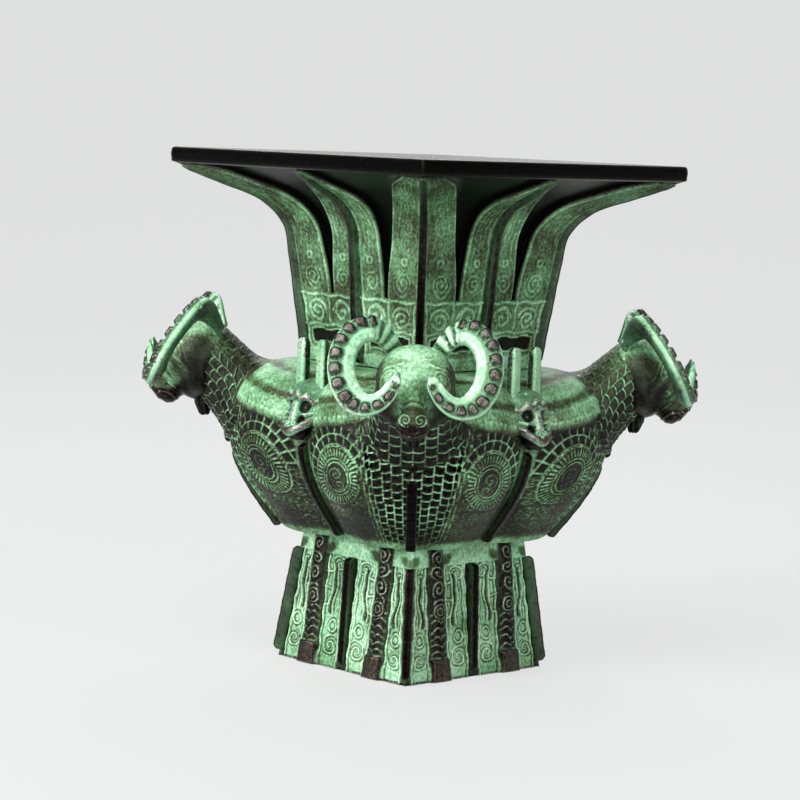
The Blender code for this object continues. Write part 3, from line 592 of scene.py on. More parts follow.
def leaf(x, z, half):
    """A blade: a raised rim, a hook with a ring eye over it and long lines that climb to the tip."""
    rim = 0.5 * ridge(half - abs(x) - 0.45, 0.42)
    x, z = hand_cut(x, z)
    hook = ridge(spiral(x, z - LEAF_HOOK_Z, 0.62 * half, 1.5), 0.4)
    eye = ridge(np.hypot(x, z - LEAF_EYE_Z) - 1.0, 0.45)
    above = ease(z - 122.4, 1.0)
    climb = ridge(repeated(x - 0.12 * half * np.sin(0.4 * z), 0.44 * half), 0.36)
    curls = ridge(spiral(x, repeated(z - 126.0, 5.2), 0.5 * half, 1.2), 0.36)
    return most(rim, 0.8 * hook, eye, 0.45 * above * climb, 0.5 * above * curls)


path = neck_path(80, 24, 28)
half, z = path[:, :1], path[:, 1:]
run = run_along(path)[:, None]
lip_run = run[-1] - run
rise = ease(z - BAND_TOP, 18.0)
foot_share = CORNER_BLADE / (CORNER_BLADE + SIDE_BLADE_HALF)
at_corner = (half - WEDGE_FOOT) * foot_share * (1 - rise) + CORNER_BLADE * rise
at_middle = (half - WEDGE_FOOT) * (1 - foot_share) * (1 - rise) + SIDE_BLADE_HALF * rise
at_corner = at_corner * (0.55 + 0.45 * ease(lip_run, 9.0))
at_middle = at_middle * (0.14 + 0.86 * ease(lip_run, 27.0))
wedge = most(half - at_corner - at_middle, 0)
columns = (
    at_corner * np.linspace(0, 1, 34),
    at_corner + wedge * np.linspace(0.02, 0.98, 9),
    half - at_middle * np.linspace(1.0, 0.04, 28),
)
across = np.concatenate(columns, axis=1)
lateral = np.concatenate((across - half, np.zeros_like(half), half - across[:, :0:-1]), axis=1)
x = np.tile(lateral, (1, 4))
z = z * np.ones_like(x)
out, to_corner = abs(x), half - abs(x)
on_blade = most(ease((at_corner - to_corner) / 0.5 + 0.5), ease((at_middle - out) / 0.5 + 0.5))
in_band = ease((BAND_TOP - z) / 0.8 + 0.5)
on_blade = most(on_blade, in_band)
panel_half = (half - 2 * CORNER_GAP) / 2
band, bar = hooked_band(out - CORNER_GAP - panel_half, z, panel_half)
middle_half, corner_half = most(0.5 * at_middle - 0.8, 0.4), most(0.5 * at_corner - 0.6, 0.4)
middle_leaf = leaf(out - 0.5 * at_middle - 0.8, z, middle_half)
corner_leaf = leaf(to_corner - 0.5 * at_corner - 0.6, z, corner_half)
leaves = np.where(out < at_middle, middle_leaf, corner_leaf) * (1 - in_band)
lines = most(leaves, band * in_band) * on_blade
rim_close = ease(lip_run - 1.2, 1.6)
height = (LINE_RELIEF * lines - BLADE_DEPTH * (1 - on_blade)) * rim_close
outside = raised(square_grid(half, z, x / half), height)
relief = (0.56 + 0.08 * in_band + 0.2 * lines) * on_blade * (1 - 0.6 * bar * in_band)
# Darker towards the lip: painted shade under its overhang.
relief = relief * (0.66 + 0.34 * ease(lip_run, 14.0))
bare = most(1 - on_blade * rim_close, 0.42 * bar * in_band)

throat = neck_path(10, 6, 3)
along = unit(np.gradient(throat, axis=0))
throat = throat + np.stack((-along[:, 1], along[:, 0]), axis=1) * NECK_WALL
throat = throat[throat[:, 0] < RIM_HALF - 2 * RIM_LAND][::-1]
hollow = [
    (RIM_HALF, RIM_Z - 3.4), (RIM_HALF + 0.15, RIM_Z - 2.0), (RIM_HALF, RIM_Z - 0.7),
    (RIM_HALF - 0.25, RIM_Z - 0.2), (RIM_HALF - 0.8, RIM_Z), (RIM_HALF - RIM_LAND, RIM_Z),
    *throat.tolist(), (throat[-1][0], SPIGOT_Z), (SPIGOT_HALF, SPIGOT_Z), (SPIGOT_HALF, NECK_Z),
]
even = np.tile(np.linspace(-1.0, 1.0, lateral.shape[1], endpoint=False), 4)
cast_hollow("neck", outside, square_rows(hollow, even), relief, bare, "neck_casting")

# Flanges
# Flat bronze strips let into grooves down the corners, the side centres and the chests. Green holds on
# their sides; handling has rubbed their outer edges to dark brown. A knob sits over each chest fin.

SIDES = ("front", "right", "back", "left")
CORNERS = ("front_right", "back_right", "back_left", "front_left")
FLANGE_THICKNESS = 2.3
FIN_THICKNESS = 3.0
FOOT_FLANGE_TOP = 33.0
FLANGE_SEAT = 1.1
CORNER_PROUD, SIDE_PROUD, TIP_PROUD, FIN_PROUD = 2.1, 3.2, 0.9, 2.6
FLANGE_ROUND = 0.45
KNOB_PLACE, KNOB_RADIUS = (55.9, 0.0, 65.0), 1.5


def strip(path, proud, tip, thickness, foot_bare, tip_bare):
    """A strip with rounded edges on a rising path, with the bareness of its edge at foot and tip."""
    along = unit(np.gradient(path, axis=0))
    out = np.stack((along[:, 1], -along[:, 0]), axis=1)
    rows = np.linspace(0, 1, len(path))[:, None]
    ends = ease(rows, 0.03) * ease(1 - rows, 0.03)
    nicks = 0.05 * np.sin(rows * 31.0) + 0.03 * np.sin(rows * 83.0 + 1.0)
    stand = (mix(proud, tip, rows) + nicks * ends) * (0.55 + 0.45 * ends)
    half = thickness / 2 * (0.8 + 0.2 * ends)
    edge_bare = mix(foot_bare, tip_bare, rows[:, 0])
    r = FLANGE_ROUND
    flank = ((0.0, None), (0.0, -1.2), (0.0, -r), (0.3 * r, -0.3 * r), (r, 0.0))
    profile = [(-1, shift, drop) for shift, drop in flank] + [(0, 0.0, 0.08)]
    profile += [(1, -shift, drop) for shift, drop in flank[::-1]]
    grid, relief, bare = [], [], []
    for edge, shift, drop in profile:
        reach = np.full_like(stand, -FLANGE_SEAT) if drop is None else most(stand + drop, -0.5)
        point = path + out * reach
        on_edge = drop is not None and abs(drop) < r
        grid.append(np.stack((point[:, 0], (edge * half + shift)[:, 0], point[:, 1]), axis=1))
        relief.append(0.6 - 0.5 * edge_bare if on_edge else np.full(len(path), 0.5))
        bare.append(edge_bare if on_edge else 0.45 * edge_bare)
    return np.stack(grid, axis=1), np.stack(relief, axis=1), np.stack(bare, axis=1)


def between(path, low, high, count):
    """A stretch of a rising path between two heights, in even steps along it."""
    heights = np.linspace(low, high, 600)
    line = np.stack((np.interp(heights, path[:, 1], path[:, 0]), heights), axis=1)
    run = run_along(line)
    wanted = np.linspace(0.0, run[-1], count)
    return np.stack([np.interp(wanted, run, line[:, k]) for k in (0, 1)], axis=1)


def tube(centres, across, upward, half_widths, half_heights, around):
    """A lofted grid: one ellipse for each centre, columns by angle from across to upward."""
    across, upward = np.broadcast_to(across, centres.shape), np.broadcast_to(upward, centres.shape)
    wide = half_widths[:, None, None] * np.cos(around)[None, :, None] * across[:, None]
    tall = half_heights[:, None, None] * np.sin(around)[None, :, None] * upward[:, None]
    return centres[:, None] + wide + tall


def chest_knob():
    """The small round knob over a chest fin."""
    polar = np.linspace(0.1, math.pi - 0.1, 16)
    centres = np.array(KNOB_PLACE) - KNOB_RADIUS * np.cos(polar)[:, None] * np.array((1.0, 0.0, 0.0))
    size = KNOB_RADIUS * np.sin(polar)
    grid = tube(centres, (0, 1, 0), (0, 0, 1), size, size, ring(24))
    return grid, 0.35, 0.7


def cast_round(name, node, shells, places, material):
    """Four like pieces, one at each corner or side, whose word goes into the names."""
    first_turn = -45.0 if places is CORNERS else -90.0
    for i, place in enumerate(places):
        placed = [(turned(grid, first_turn + 90.0 * i), *rest) for grid, *rest in shells]
        cast(name.format(place), placed, material, node.format(place))


foot_z = np.linspace(HOOF_HEIGHT / 4, FOOT_FLANGE_TOP, 60)
foot_edge = np.stack((foot_half(foot_z), foot_z), axis=1)
neck_edge = between(path, NECK_Z + FLANGE_SEAT, RIM_Z - RIM_EDGE - FLANGE_SEAT, 110)
diagonal = np.array((math.sqrt(2.0), 1.0))
fin_line = belly_path(EIGHTH, np.linspace(0.02, 0.44, 60))
valley_line = belly_path(0.0, np.linspace(0.04, 0.574, 60))
for kind, places, line, proud, tip, foot_bare, tip_bare in (
    ("foot_corner_flange", CORNERS, foot_edge * diagonal, CORNER_PROUD, CORNER_PROUD, 0.8, 0.6),
    ("foot_side_flange", SIDES, foot_edge, TIP_PROUD, SIDE_PROUD, 0.7, 0.9),
    ("chest_fin", CORNERS, fin_line, FIN_PROUD, TIP_PROUD, 1.0, 0.7),
    ("belly_side_flange", SIDES, valley_line, SIDE_PROUD, SIDE_PROUD, 0.9, 0.8),
    ("neck_corner_flange", CORNERS, neck_edge * diagonal, CORNER_PROUD, TIP_PROUD, 0.75, 0.35),
    ("neck_side_flange", SIDES, neck_edge, SIDE_PROUD, TIP_PROUD, 0.6, 0.3),
):
    thickness, knobs = (FIN_THICKNESS, [chest_knob()]) if kind == "chest_fin" else (FLANGE_THICKNESS, [])
    shells = [strip(line, proud, tip, thickness, foot_bare, tip_bare), *knobs]
    cast_round(kind + "_{}_strip", kind + "_{}", shells, places, dark_bronze)

# Ram heads
# Each neck swells out of a chest under a scale net and carries a smooth domed skull with almond
# eyes, curled nostrils and a short beard. Cast on their own and set into the belly.

RAM_ROOT = np.array((50.0, 0.0, 75.8))
RAM_NECK_END = np.array((60.5, 0.0, 86.5))
RAM_SKULL = np.array((65.6, 0.0, 89.6))
ROOT_LEAN, END_LEAN = 34.0, 20.0
ROOT_HALVES, END_HALVES = (12.0, 11.2), (10.7, 10.6)
THROAT_FILLET, FLANK_FILLET, NAPE_FILLET = 3.5, 9.0, 6.0
NECK_SCALES = 24
THROAT_SCALE = 3.3
HEAD_DROP = 46.0
HEAD_LENGTH = 26.2
HEAD_STATIONS = (-0.40, -0.385, -0.33, -0.20, 0.0, 0.16, 0.28, 0.38, 0.44, 0.55, 0.63, 0.675, 0.69)
HEAD_HALF_WIDTHS = (1.0, 3.8, 7.0, 9.7, 10.9, 9.6, 6.0, 4.0, 3.5, 4.5, 4.1, 2.5, 0.8)
HEAD_HALF_DEPTHS = (0.8, 3.0, 5.6, 7.9, 9.0, 8.3, 6.6, 5.2, 4.7, 5.2, 4.6, 2.8, 0.8)
EYE_SIDE, EYE_ALONG = 7.3, 3.4
NOSTRIL_Z, LIP_Z, CHIN_Z = 80.6, 75.7, 82.0
BEARD_TOP = np.array((64.6, 0.0, 80.0))
BEARD_LENGTH, BEARD_HALF = 8.6, 2.6


def through(places, values, wanted):
    """A smooth curve through stations, read at the wanted places."""
    places, values = np.array(places), np.array(values, float)
    slopes = np.gradient(values, places)
    i = np.clip(np.searchsorted(places, wanted) - 1, 0, len(places) - 2)
    gap = places[i + 1] - places[i]
    t = (wanted - places[i]) / gap
    climb, bend_in, bend_out = values[i + 1] - values[i], slopes[i] * gap, slopes[i + 1] * gap
    curve = t**2 * (3 * climb - 2 * bend_in - bend_out) + t**3 * (bend_in + bend_out - 2 * climb)
    return values[i] + t * bend_in + curve


def ram_neck():
    """The scaled neck: it spreads over the chest in a smooth fillet and ends inside the skull."""
    rows = np.linspace(-0.34, 1.24, 124)
    lean = np.radians(mix(ROOT_LEAN, END_LEAN, rows))
    upward = np.stack((-np.sin(lean), 0 * lean, np.cos(lean)), axis=1)
    centres = mix(RAM_ROOT, RAM_NECK_END, most(rows, 0)[:, None])
    size = (1.0 + 0.4 * (most(-rows, 0) / 0.34) ** 1.3) * (1 - 0.1 * ease(rows - 1.06, 0.18))
    wide, tall = (size * mix(*ends, np.clip(rows, 0, 1)) for ends in zip(ROOT_HALVES, END_HALVES))
    around = ring(216)
    grid = tube(centres, (0, 1, 0), upward, wide, tall, around)
    reach, level = np.hypot(grid[..., 0], grid[..., 1]), grid[..., 2]
    bearing = np.arctan2(grid[..., 1], grid[..., 0]) + EIGHTH
    chest = belly_reach(bearing, np.clip((level - BELLY_Z) / BELLY_HEIGHT, 0, 1))
    collar, widest = belly_reach(bearing, np.array(1.0)), belly_reach(bearing, np.array(WIDEST_SHARE))
    inward = np.clip((reach - collar) / (widest - collar), 0, 1)
    over = (1 - inward ** (1.0 / SHOULDER_ROUND)) ** (1.0 / SHOULDER_POWER)
    shoulder = BELLY_Z + BELLY_HEIGHT * mix(WIDEST_SHARE, 1.0, over)
    rows = rows[:, None]
    nape = ease(1.6 * np.sin(around) - 0.4)
    radius = mix(THROAT_FILLET, FLANK_FILLET, np.cos(around) ** 2)
    freed = ease(rows + 0.34, 0.3)
    fillet = most(radius - abs(reach - chest), 0) ** 2 / (4 * radius)
    joined = chest - 0.5 + (most(reach - chest, 0) + fillet + 0.5) * freed
    fillet = most(NAPE_FILLET - abs(level - shoulder), 0) ** 2 / (4 * NAPE_FILLET)
    lifted = shoulder - 0.5 + (most(level - shoulder, 0) + fillet + 0.5) * freed
    grid[..., :2] *= (1.0 + (joined / reach - 1.0) * (1 - nape))[..., None]
    grid[..., 2] += (lifted - level) * nape
    off_chest, off_shoulder = ease(reach - chest + 3.0, 1.5), ease(level - shoulder + 0.5, 1.5)
    clear = most(off_chest * (1 - nape), off_shoulder * nape)
    from_below = (around + 1.5 * math.pi) % math.tau - math.pi
    steps = np.linalg.norm(np.diff(grid, axis=0), axis=2)
    along = np.concatenate((np.zeros((1, len(around))), np.cumsum(steps, axis=0)))
    scale_width = math.pi * (wide + tall)[:, None] / NECK_SCALES
    net = scale_net(from_below * NECK_SCALES / math.tau + 0 * rows, scale_width, -0.85 * along)
    up_chest = np.interp(grid[..., 2], BELLY_Z + BELLY_HEIGHT * belly_share[:, 0], belly_climb[:, 0])
    throat_net = scale_net(abs(grid[..., 1]) / THROAT_SCALE, THROAT_SCALE, up_chest)
    at_flank = ease(abs(from_below) - 0.75, 0.2)
    net = mix(throat_net, net, at_flank)
    net = net * ease(1.2 - rows, 0.12) * ease(rows + 0.26, 0.05) * clear * (1 - 0.7 * nape)
    grid = raised(grid, 0.45 * net)
    # Lighter on top and darker, browner underneath, most near the chest: painted light and painted shade.
    above = ease(0.5 + 0.8 * np.sin(around)) + 0 * rows
    ground = 0.06 + 0.28 * most(above, 0.7 * ease(rows - 0.3, 0.5))
    return grid, mix(ground, 0.6, net), 0.42 * (1 - net) * (1 - above)


def ram_skull():
    """The head along its face, with brow, eyes, nostrils, mouth and forehead scrolls."""
    stretches = ((-0.40, -0.33, 14), (-0.325, 0.62, 98), (0.625, 0.69, 18))
    rows = np.concatenate([np.linspace(*stretch) for stretch in stretches])
    drop = math.radians(HEAD_DROP)
    face = np.array((math.cos(drop), 0.0, -math.sin(drop)))
    up = np.array((math.sin(drop), 0.0, math.cos(drop)))
    wide, tall = (through(HEAD_STATIONS, size, rows) for size in (HEAD_HALF_WIDTHS, HEAD_HALF_DEPTHS))
    around = ring(136)
    along = rows[:, None] * HEAD_LENGTH
    grid = tube(RAM_SKULL + face * along, (0, 1, 0), up, wide, tall, around)
    out, z = abs(grid[..., 1]), grid[..., 2]
    along = along + 0 * out
    top = ease(np.sin(around) * 3.0 + 0.4)
    eye = np.hypot(0.85 * (out - EYE_SIDE), along - EYE_ALONG)
    lids = (ridge(eye - 1.7, 0.42) + 0.5 * ridge(eye - 2.6, 0.4)) * top
    ball = ease(1.4 - eye, 0.8) * top
    brow = ridge(along - 0.8 + 0.04 * (out - 6.0) ** 2, 0.6)
    brow = brow * ease(9.0 - out, 1.0) * ease(out - 2.8, 0.8) * top
    bridge = ridge(out, 2.8) * ease(along - 4.5, 2.5) * ease(13.0 - along, 3.0) * top
    nose = ease(along - 11.4, 1.2)
    crease = ridge(along - 10.7, 0.7) * top
    curls = ridge(spiral(out - 1.95, z - NOSTRIL_Z, 1.8, 1.05, -1.0), 0.34) * nose
    lip = ridge(z - LIP_Z - 0.12 * out**2, 0.4) * nose
    # The lower muzzle is near-black bare metal, and its darkness also serves as painted shade under the
    # rounded muzzle.
    chin_dark_and_shade = ease(CHIN_Z - z, 5.0) * ease(along - 9.0, 2.5)
    scroll = ridge(spiral(out - 3.0, along + 3.4, 2.4, 1.4), 0.36) * top
    jaw = ridge(along - 6.5, 8.0) * ease(-1.5 * np.sin(around))
    height = 0.3 * lids + 0.45 * ball + 0.3 * brow + 0.6 * bridge + 0.3 * curls + 0.25 * lip - 0.3 * crease
    grid = raised(grid, height + 0.2 * scroll + 3.6 * jaw)
    # Darker and browner underneath: painted shade.
    painted_underside_shade = ease(-np.sin(around) * 2.2 - 0.1) * (1 - nose)
    lines = most(0.4 * lids, 0.4 * curls, 0.4 * brow, 0.4 * scroll)
    cheek = most(ease(out - 3.6, 2.5) * ease(along - 4.0, 3.0), ease(out - 7.5, 2.5))
    cheek = cheek * (1 - nose)
    relief = (0.7 - 0.42 * cheek - 0.16 * nose + 0.26 * lines - 0.12 * crease) * (1 - 0.6 * painted_underside_shade)
    relief = relief + (0.12 * chin_dark_and_shade + 0.2 * lip) * nose
    muzzle = most(0.45 * nose * (1 - curls), 0.9 * chin_dark_and_shade * (1 - 0.4 * curls))
    bare = most(muzzle, 0.5 * painted_underside_shade, 0.26 * cheek)
    return grid, np.clip(relief, 0.0, 1.5), bare


def ram_beard():
    """The short blunt beard, combed into locks."""
    rows = np.linspace(0, 1, 40)
    size = np.interp(rows, (0.0, 0.6, 0.95, 1.0), (1.0, 0.95, 0.55, 0.3)) * BEARD_HALF
    around = ring(40)
    centres = BEARD_TOP + np.stack((-0.12 * rows, 0 * rows, -rows), axis=1) * BEARD_LENGTH
    locks = np.cos(7 * around + 2.0 * rows[:, None])
    grid = raised(tube(centres, (0, 1, 0), (1, 0, 0), size, size, around), 0.25 * locks)
    return grid, 0.3 + 0.3 * locks, 0.5


ram_shells = [ram_neck(), ram_skull(), ram_beard()]
cast_round("ram_{}", "ram_head_{}", ram_shells, CORNERS, green_patina)

# Horns
# Flat cast coils, rooted in the poll, that turn over outwards and curl forward beside the cheek. A
# row of bosses runs along each outer edge, rubbed to bare metal, with tops rubbed and painted pale as
# highlights and painted shade between them; the inner half is smooth, and its back carries painted shade.

HORN_CENTRE = np.array((68.3, 0.0, 92.2))
HORN_LEAN = 31.0
HORN_OFFSET, HORN_SPAN, HORN_RISE = 11.8, 16.6, 24.0
HORN_START, HORN_SWEEP = 45.0, 290.0
HORN_SINK, HORN_BULGE = 5.6, 4.2
HORN_TIP_REACH, HORN_TIP_CURL = 10.5, 0.34
HORN_HALF_WIDTH, HORN_HALF_DEPTH = 3.8, 2.0
HORN_TIP_SHARE, HORN_TAPER_SHARE = 0.46, 0.66
HORN_BOSSES = 15
BOSS_ROW_ANGLE, INNER_EDGE_ANGLE = 64.0, 142.0

rubbed_bronze = patina(
    "rubbed green bronze",
    greens=((0.0, "#070906"), (0.2, "#233226"), (0.42, "#5a8a62"), (0.66, "#98c9a0"), (1.0, "#eaf7e8")),
    browns=((0.1, "#0c0908"), (0.42, "#2a2622"), (0.72, "#68635d"), (1.0, "#d2cec7")),
    roughness=0.42,
    speck_mm=0.8,
)


def ram_horn(hand):
    """One horn's grid, with the bosses along its outer edge and the grooves of its root."""
    rows = np.linspace(0, 1, 168)
    lean = math.radians(HORN_LEAN)
    upward = np.array((-math.sin(lean), 0.0, math.cos(lean)))
    outward = np.array((math.cos(lean), 0.0, math.sin(lean)))
    sweep = np.radians(HORN_START + HORN_SWEEP * rows)
    rooted = most(0, 1 - rows / 0.22) ** 2
    curled = most(0, 1 - (1 - rows) / HORN_TIP_CURL) ** 1.5
    lateral = HORN_OFFSET - HORN_SPAN / 2 * np.cos(sweep)
    stand = HORN_BULGE * np.sin(sweep / 2) ** 2 - HORN_SINK * rooted + HORN_TIP_REACH * curled
    centres = HORN_CENTRE + lateral[:, None] * np.array((0.0, hand, 0.0))
    centres = centres + (HORN_RISE / 2 * np.sin(sweep))[:, None] * upward + stand[:, None] * outward
    along = unit(np.gradient(centres, axis=0))
    radial = unit(np.cross(along, outward))
    hub = HORN_CENTRE + np.array((0.0, hand * HORN_OFFSET, 0.0))
    radial *= np.sign(((centres - hub) * radial).sum(axis=1).mean())
    facing = np.cross(radial, along)
    facing *= np.sign(facing @ outward)[:, None]
    slim = most(0, rows - HORN_TAPER_SHARE) / (1 - HORN_TAPER_SHARE)
    taper = mix(1.0, HORN_TIP_SHARE, slim)
    root = 0.66 + 0.34 * ease(rows, 0.2)
    size = taper * root * (0.35 + 0.65 * ease(1 - rows, 0.05))
    around = ring(60)
    grid = tube(centres, radial, facing, HORN_HALF_WIDTH * size, HORN_HALF_DEPTH * size, around)
    spaced = abs((rows * HORN_BOSSES) % 1 - 0.5)
    begun = (ease(rows - 0.14, 0.05) * ease(0.97 - rows, 0.03))[:, None]
    off_row = abs(around - math.radians(BOSS_ROW_ANGLE))
    boss_reach = ((2.15 * spaced[:, None]) ** 2.6 + (1.7 * off_row) ** 2.6) ** (1 / 2.6)
    # Boss tops (crown) are rubbed bare and also painted pale as highlights.
    boss, crown_wear_and_highlight = ease(1 - boss_reach, 0.4) * begun, ease(0.6 - boss_reach, 0.3) * begun
    # A shallow groove along the boss row, painted darker as shade between the bosses.
    shaded_trough = ease(0.8 - off_row, 0.25) * begun * (1 - boss)
    ahead = ease(2.0 * np.sin(around))
    ribs = (1 - begun) * ahead * ease(0.5 - 0.6 * np.cos(math.tau * rows * 1.3 * HORN_BOSSES))[:, None]
    beat = 0.6 + 0.4 * np.cos(math.tau * rows * HORN_BOSSES)
    inner = ridge(around - math.radians(INNER_EDGE_ANGLE), 0.3) * beat[:, None]
    squared = 0.3 * np.sin(2.0 * around) ** 2
    grid = raised(grid, (squared + 0.9 * boss - 0.25 * shaded_trough - 0.3 * ribs + 0.2 * inner) * taper[:, None])
    # The back of the coil, turned towards the head, is painted darker and browner as shade.
    painted_shade_behind = ease(-2.0 * np.sin(around))
    relief = 0.82 + 0.1 * inner - 0.12 * shaded_trough - 0.3 * ribs - 0.45 * painted_shade_behind - 0.3 * boss + 0.4 * crown_wear_and_highlight
    return grid, relief, 0.27 + 0.4 * boss + 0.14 * ribs + 0.12 * shaded_trough + 0.1 * painted_shade_behind


for hand, word in ((-1.0, "a"), (1.0, "b")):
    node = "ram_horn_{}_" + word
    cast_round(node + "_coil", node, [ram_horn(hand)], CORNERS, rubbed_bronze)

# Beast heads
# A small mask at the middle of each shoulder: sunk eyes under a heavy brow, a snout that juts at the
# foot, and two thick posts of horns against the neck. Tenoned in, with worn high points that are also
# painted pale as highlights; painted shade darkens the sockets, the underside and the posts' sides.

BEAST_TOP_Z = 86.1
BEAST_DROP = 17.2
BEAST_STATIONS = (0.0, 0.03, 0.14, 0.42, 0.62, 0.80, 0.94, 1.0)
BEAST_HALF_WIDTHS = (1.5, 3.9, 5.9, 5.8, 5.3, 4.7, 3.4, 1.6)
BEAST_FRONTS = (41.6, 43.6, 46.5, 48.2, 49.4, 50.6, 50.2, 48.4)
BEAST_DEPTHS = (1.4, 4.0, 8.0, 8.2, 7.6, 6.0, 5.0, 2.4)
BEAST_HORN_X, BEAST_HORN_Y = 42.5, 4.2
BEAST_HORN_LOW, BEAST_HORN_HIGH = 83.1, 97.6
BEAST_HORN_HALF = 2.0


def beast_mask():
    """The mask's grid, with a lobed brow, sunk eyes, cheek hollows and a turned-up lip."""
    rows = np.linspace(0, 1, 104)
    sizes = (BEAST_HALF_WIDTHS, BEAST_FRONTS, BEAST_DEPTHS)
    wide, front, deep = (through(BEAST_STATIONS, size, rows) for size in sizes)
    around = ring(96)
    centres = np.stack((front - deep / 2, 0 * rows, BEAST_TOP_Z - BEAST_DROP * rows), axis=1)
    grid = tube(centres, (0, 1, 0), (1, 0, 0), wide, deep / 2, around)
    y = abs(grid[..., 1])
    down = BEAST_DROP * rows[:, None] + 0 * y
    ahead = ease(np.sin(around) * 3.0 + 0.3)
    brow = ridge(down - 4.6 - 0.05 * y**2 + 0.5 * np.cos(1.9 * y), 1.6)
    eye = np.hypot(y - 2.9, down - 7.5)
    socket, ball = ease(1.9 - eye, 0.7), ease(0.9 - eye, 0.7)
    nose = ridge(y, 2.3) * ease(down - 5.0, 2.0) * ease(12.6 - down, 1.5)
    hollow = ease(1.35 - np.hypot(y - 2.7, 0.8 * (down - 11.2)), 0.7)
    lip = ridge(down - 14.4 + 0.11 * y**2, 2.1)
    nostril = ridge(spiral(y - 1.3, down - 12.2, 1.1, 0.8), 0.36)
    cheek = ridge(down - 9.6 + 0.3 * (y - 4.6), 0.9) * ease(y - 1.8, 0.8)
    high = most(brow, 0.8 * nose, lip, 0.6 * nostril, 0.7 * cheek)
    # Sockets and cheek hollows are sunk and painted darker and browner as shade; the eyeball keeps them
    # shallower and lighter.
    sunk_and_shaded = most(socket * (1 - 0.35 * ball), hollow) * (1 - lip)
    grid = raised(grid, (1.3 * high - 1.1 * sunk_and_shaded) * ahead)
    # Darker and browner under the snout and lip: painted shade.
    below = ease(down - 15.5 + 0.12 * y**2, 0.7)
    # Brow, lip, cheeks and nose are lighter and rubbed towards bare metal: wear, and painted highlight.
    worn = most(brow, lip, 0.7 * cheek, 0.75 * nose) * ahead
    relief = (0.6 + 0.5 * high) * (1 - 0.8 * sunk_and_shaded) * (1 - 0.8 * below)
    return grid, relief, most(0.66 * worn, 0.5 * sunk_and_shaded, 0.9 * below, 0.38 + 0 * y)


def beast_horn(hand):
    """One horn: a plain thick post, squarish, with a rounded top."""
    rows = np.linspace(0, 1, 64)
    size = BEAST_HORN_HALF * np.interp(rows, (0.0, 0.5, 0.9, 0.97, 1.0), (1.0, 0.95, 0.9, 0.7, 0.35))
    around = ring(36)
    lift = mix(BEAST_HORN_LOW, BEAST_HORN_HIGH, rows)
    centres = np.stack((BEAST_HORN_X + 0 * rows, hand * BEAST_HORN_Y + 0 * rows, lift), axis=1)
    grid = tube(centres, (0, 1, 0), (1, 0, 0), size, 0.9 * size, around)
    square = 0.14 * np.cos(4.0 * (around - EIGHTH)) * (size / BEAST_HORN_HALF)[:, None]
    # The posts' sides are darker and browner: worn edges, and painted shade.
    side = ease(abs(np.cos(around)) - 0.75, 0.2) + 0 * square
    return raised(grid, square), 0.78 - 0.25 * side, 0.32 + 0.2 * side


beast_shells = [beast_mask(), beast_horn(-1.0), beast_horn(1.0)]
cast_round("beast_{}", "beast_head_{}", beast_shells, SIDES, rubbed_bronze)

# Stage
# A plain pale floor that curves up into a backdrop, four soft lamps and the photograph's camera.
# The paper glows a little towards the camera, which keeps its tone even.

CAMERA_MM = (585.1, -563.6, 158.06)
CAMERA_HEADING, CAMERA_DIP, CAMERA_ROLL = -0.02573, 0.09806, 0.03978
CAMERA_LENS_MM = 124.0
PAPER_NEAR, PAPER_BEND, PAPER_RADIUS, PAPER_HALF = -2.5, 0.9, 0.8, 3.0
PAPER_TURN, PAPER_GLOW = 135.0, 0.78
AIM = (0.0, 0.0, 0.08)

scene = bpy.context.scene
paper = bpy.data.materials.new("pale studio paper")
paper.use_nodes = True
tree = paper.node_tree
sheet = tree.nodes["Principled BSDF"]
sheet.inputs["Base Color"].default_value = linear("#abadad")
sheet.inputs["Roughness"].default_value = 0.9
rays = add_node(tree, "ShaderNodeLightPath").outputs
seen = rays["Is Camera Ray"]
for kind in ("Is Glossy Ray", "Is Transmission Ray"):
    seen = add_node(tree, "ShaderNodeMath", {0: seen, 1: rays[kind]}, operation="MAXIMUM").outputs[0]
share = add_node(tree, "ShaderNodeMath", {0: seen, 1: PAPER_GLOW}, operation="MULTIPLY")
glow = add_node(tree, "ShaderNodeEmission", {"Color": linear("#f0f1f0"), "Strength": 1.0})
parts = {0: share.outputs[0], 1: sheet.outputs["BSDF"], 2: glow.outputs["Emission"]}
blend = add_node(tree, "ShaderNodeMixShader", parts)
tree.links.new(blend.outputs["Shader"], tree.nodes["Material Output"].inputs["Surface"])

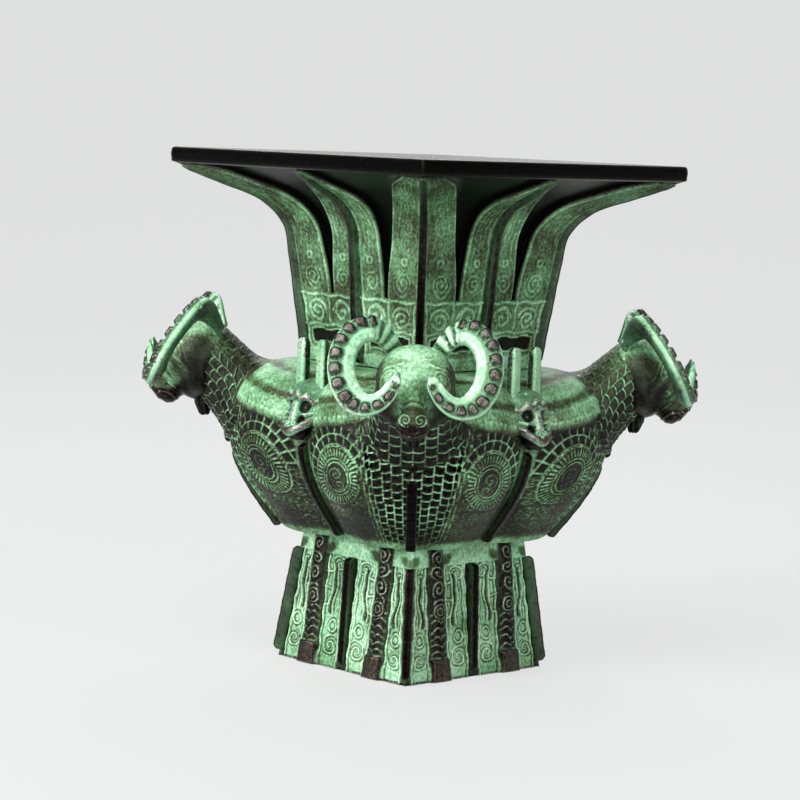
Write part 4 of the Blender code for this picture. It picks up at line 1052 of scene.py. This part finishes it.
sweep = [(PAPER_NEAR + 0.1 * i, 0.0) for i in range(34)]
for a in np.linspace(0.0, math.pi / 2, 20):
    sweep.append((PAPER_BEND + PAPER_RADIUS * math.sin(a), PAPER_RADIUS - PAPER_RADIUS * math.cos(a)))
sweep += [(PAPER_BEND + PAPER_RADIUS, PAPER_RADIUS + 0.2 * i) for i in range(1, 10)]
away = Matrix.Rotation(math.radians(PAPER_TURN), 3, "Z")
verts = [away @ Vector((x, side, z)) for x, z in sweep for side in (-PAPER_HALF, PAPER_HALF)]
faces = [(2 * i - 2, 2 * i - 1, 2 * i + 1, 2 * i) for i in range(1, len(sweep))]
backdrop = add_mesh("backdrop", verts, faces, paper)

world = bpy.data.worlds.new("soft room")
world.use_nodes = True
sky = world.node_tree.nodes["Background"].inputs
sky["Color"].default_value = linear("#e9edef")
sky["Strength"].default_value = 0.3
scene.world = world

for name, place, size, power in (
    ("overhead softbox", (0.15, -0.5, 0.9), 0.6, 9.0),
    ("left softbox", (-0.1, -1.0, 0.40), 0.45, 11.0),
    ("right fill", (1.0, -0.3, 0.35), 0.5, 5.5),
    ("back fill", (-0.5, 0.45, 0.8), 0.6, 6.0),
):
    lamp = bpy.data.lights.new(name, "AREA")
    lamp.size, lamp.energy = size, power
    holder = bpy.data.objects.new(name, lamp)
    holder.location = place
    aim = Vector(AIM) - Vector(place)
    holder.rotation_euler = aim.to_track_quat("-Z", "Y").to_euler()
    scene.collection.objects.link(holder)

ahead = Vector((
    math.sin(CAMERA_HEADING) * math.cos(CAMERA_DIP),
    math.cos(CAMERA_HEADING) * math.cos(CAMERA_DIP),
    -math.sin(CAMERA_DIP),
))
right = ahead.cross(Vector((0, 0, 1))).normalized()
up = right.cross(ahead)
c, s = math.cos(CAMERA_ROLL), math.sin(CAMERA_ROLL)
right, up = c * right + s * up, c * up - s * right
eighth_turn = Matrix.Rotation(EIGHTH, 3, "Z")
columns = [eighth_turn @ v for v in (right, up, -ahead)]
camera = bpy.data.objects.new("camera", bpy.data.cameras.new("camera"))
camera.matrix_world = Matrix.Translation(Vector(CAMERA_MM) * 0.001) @ Matrix(columns).transposed().to_4x4()
camera.data.lens = CAMERA_LENS_MM
camera.data.sensor_width = 36.0
camera.data.clip_start = 0.05
scene.collection.objects.link(camera)
scene.camera = camera
scene.view_settings.view_transform = "Standard"
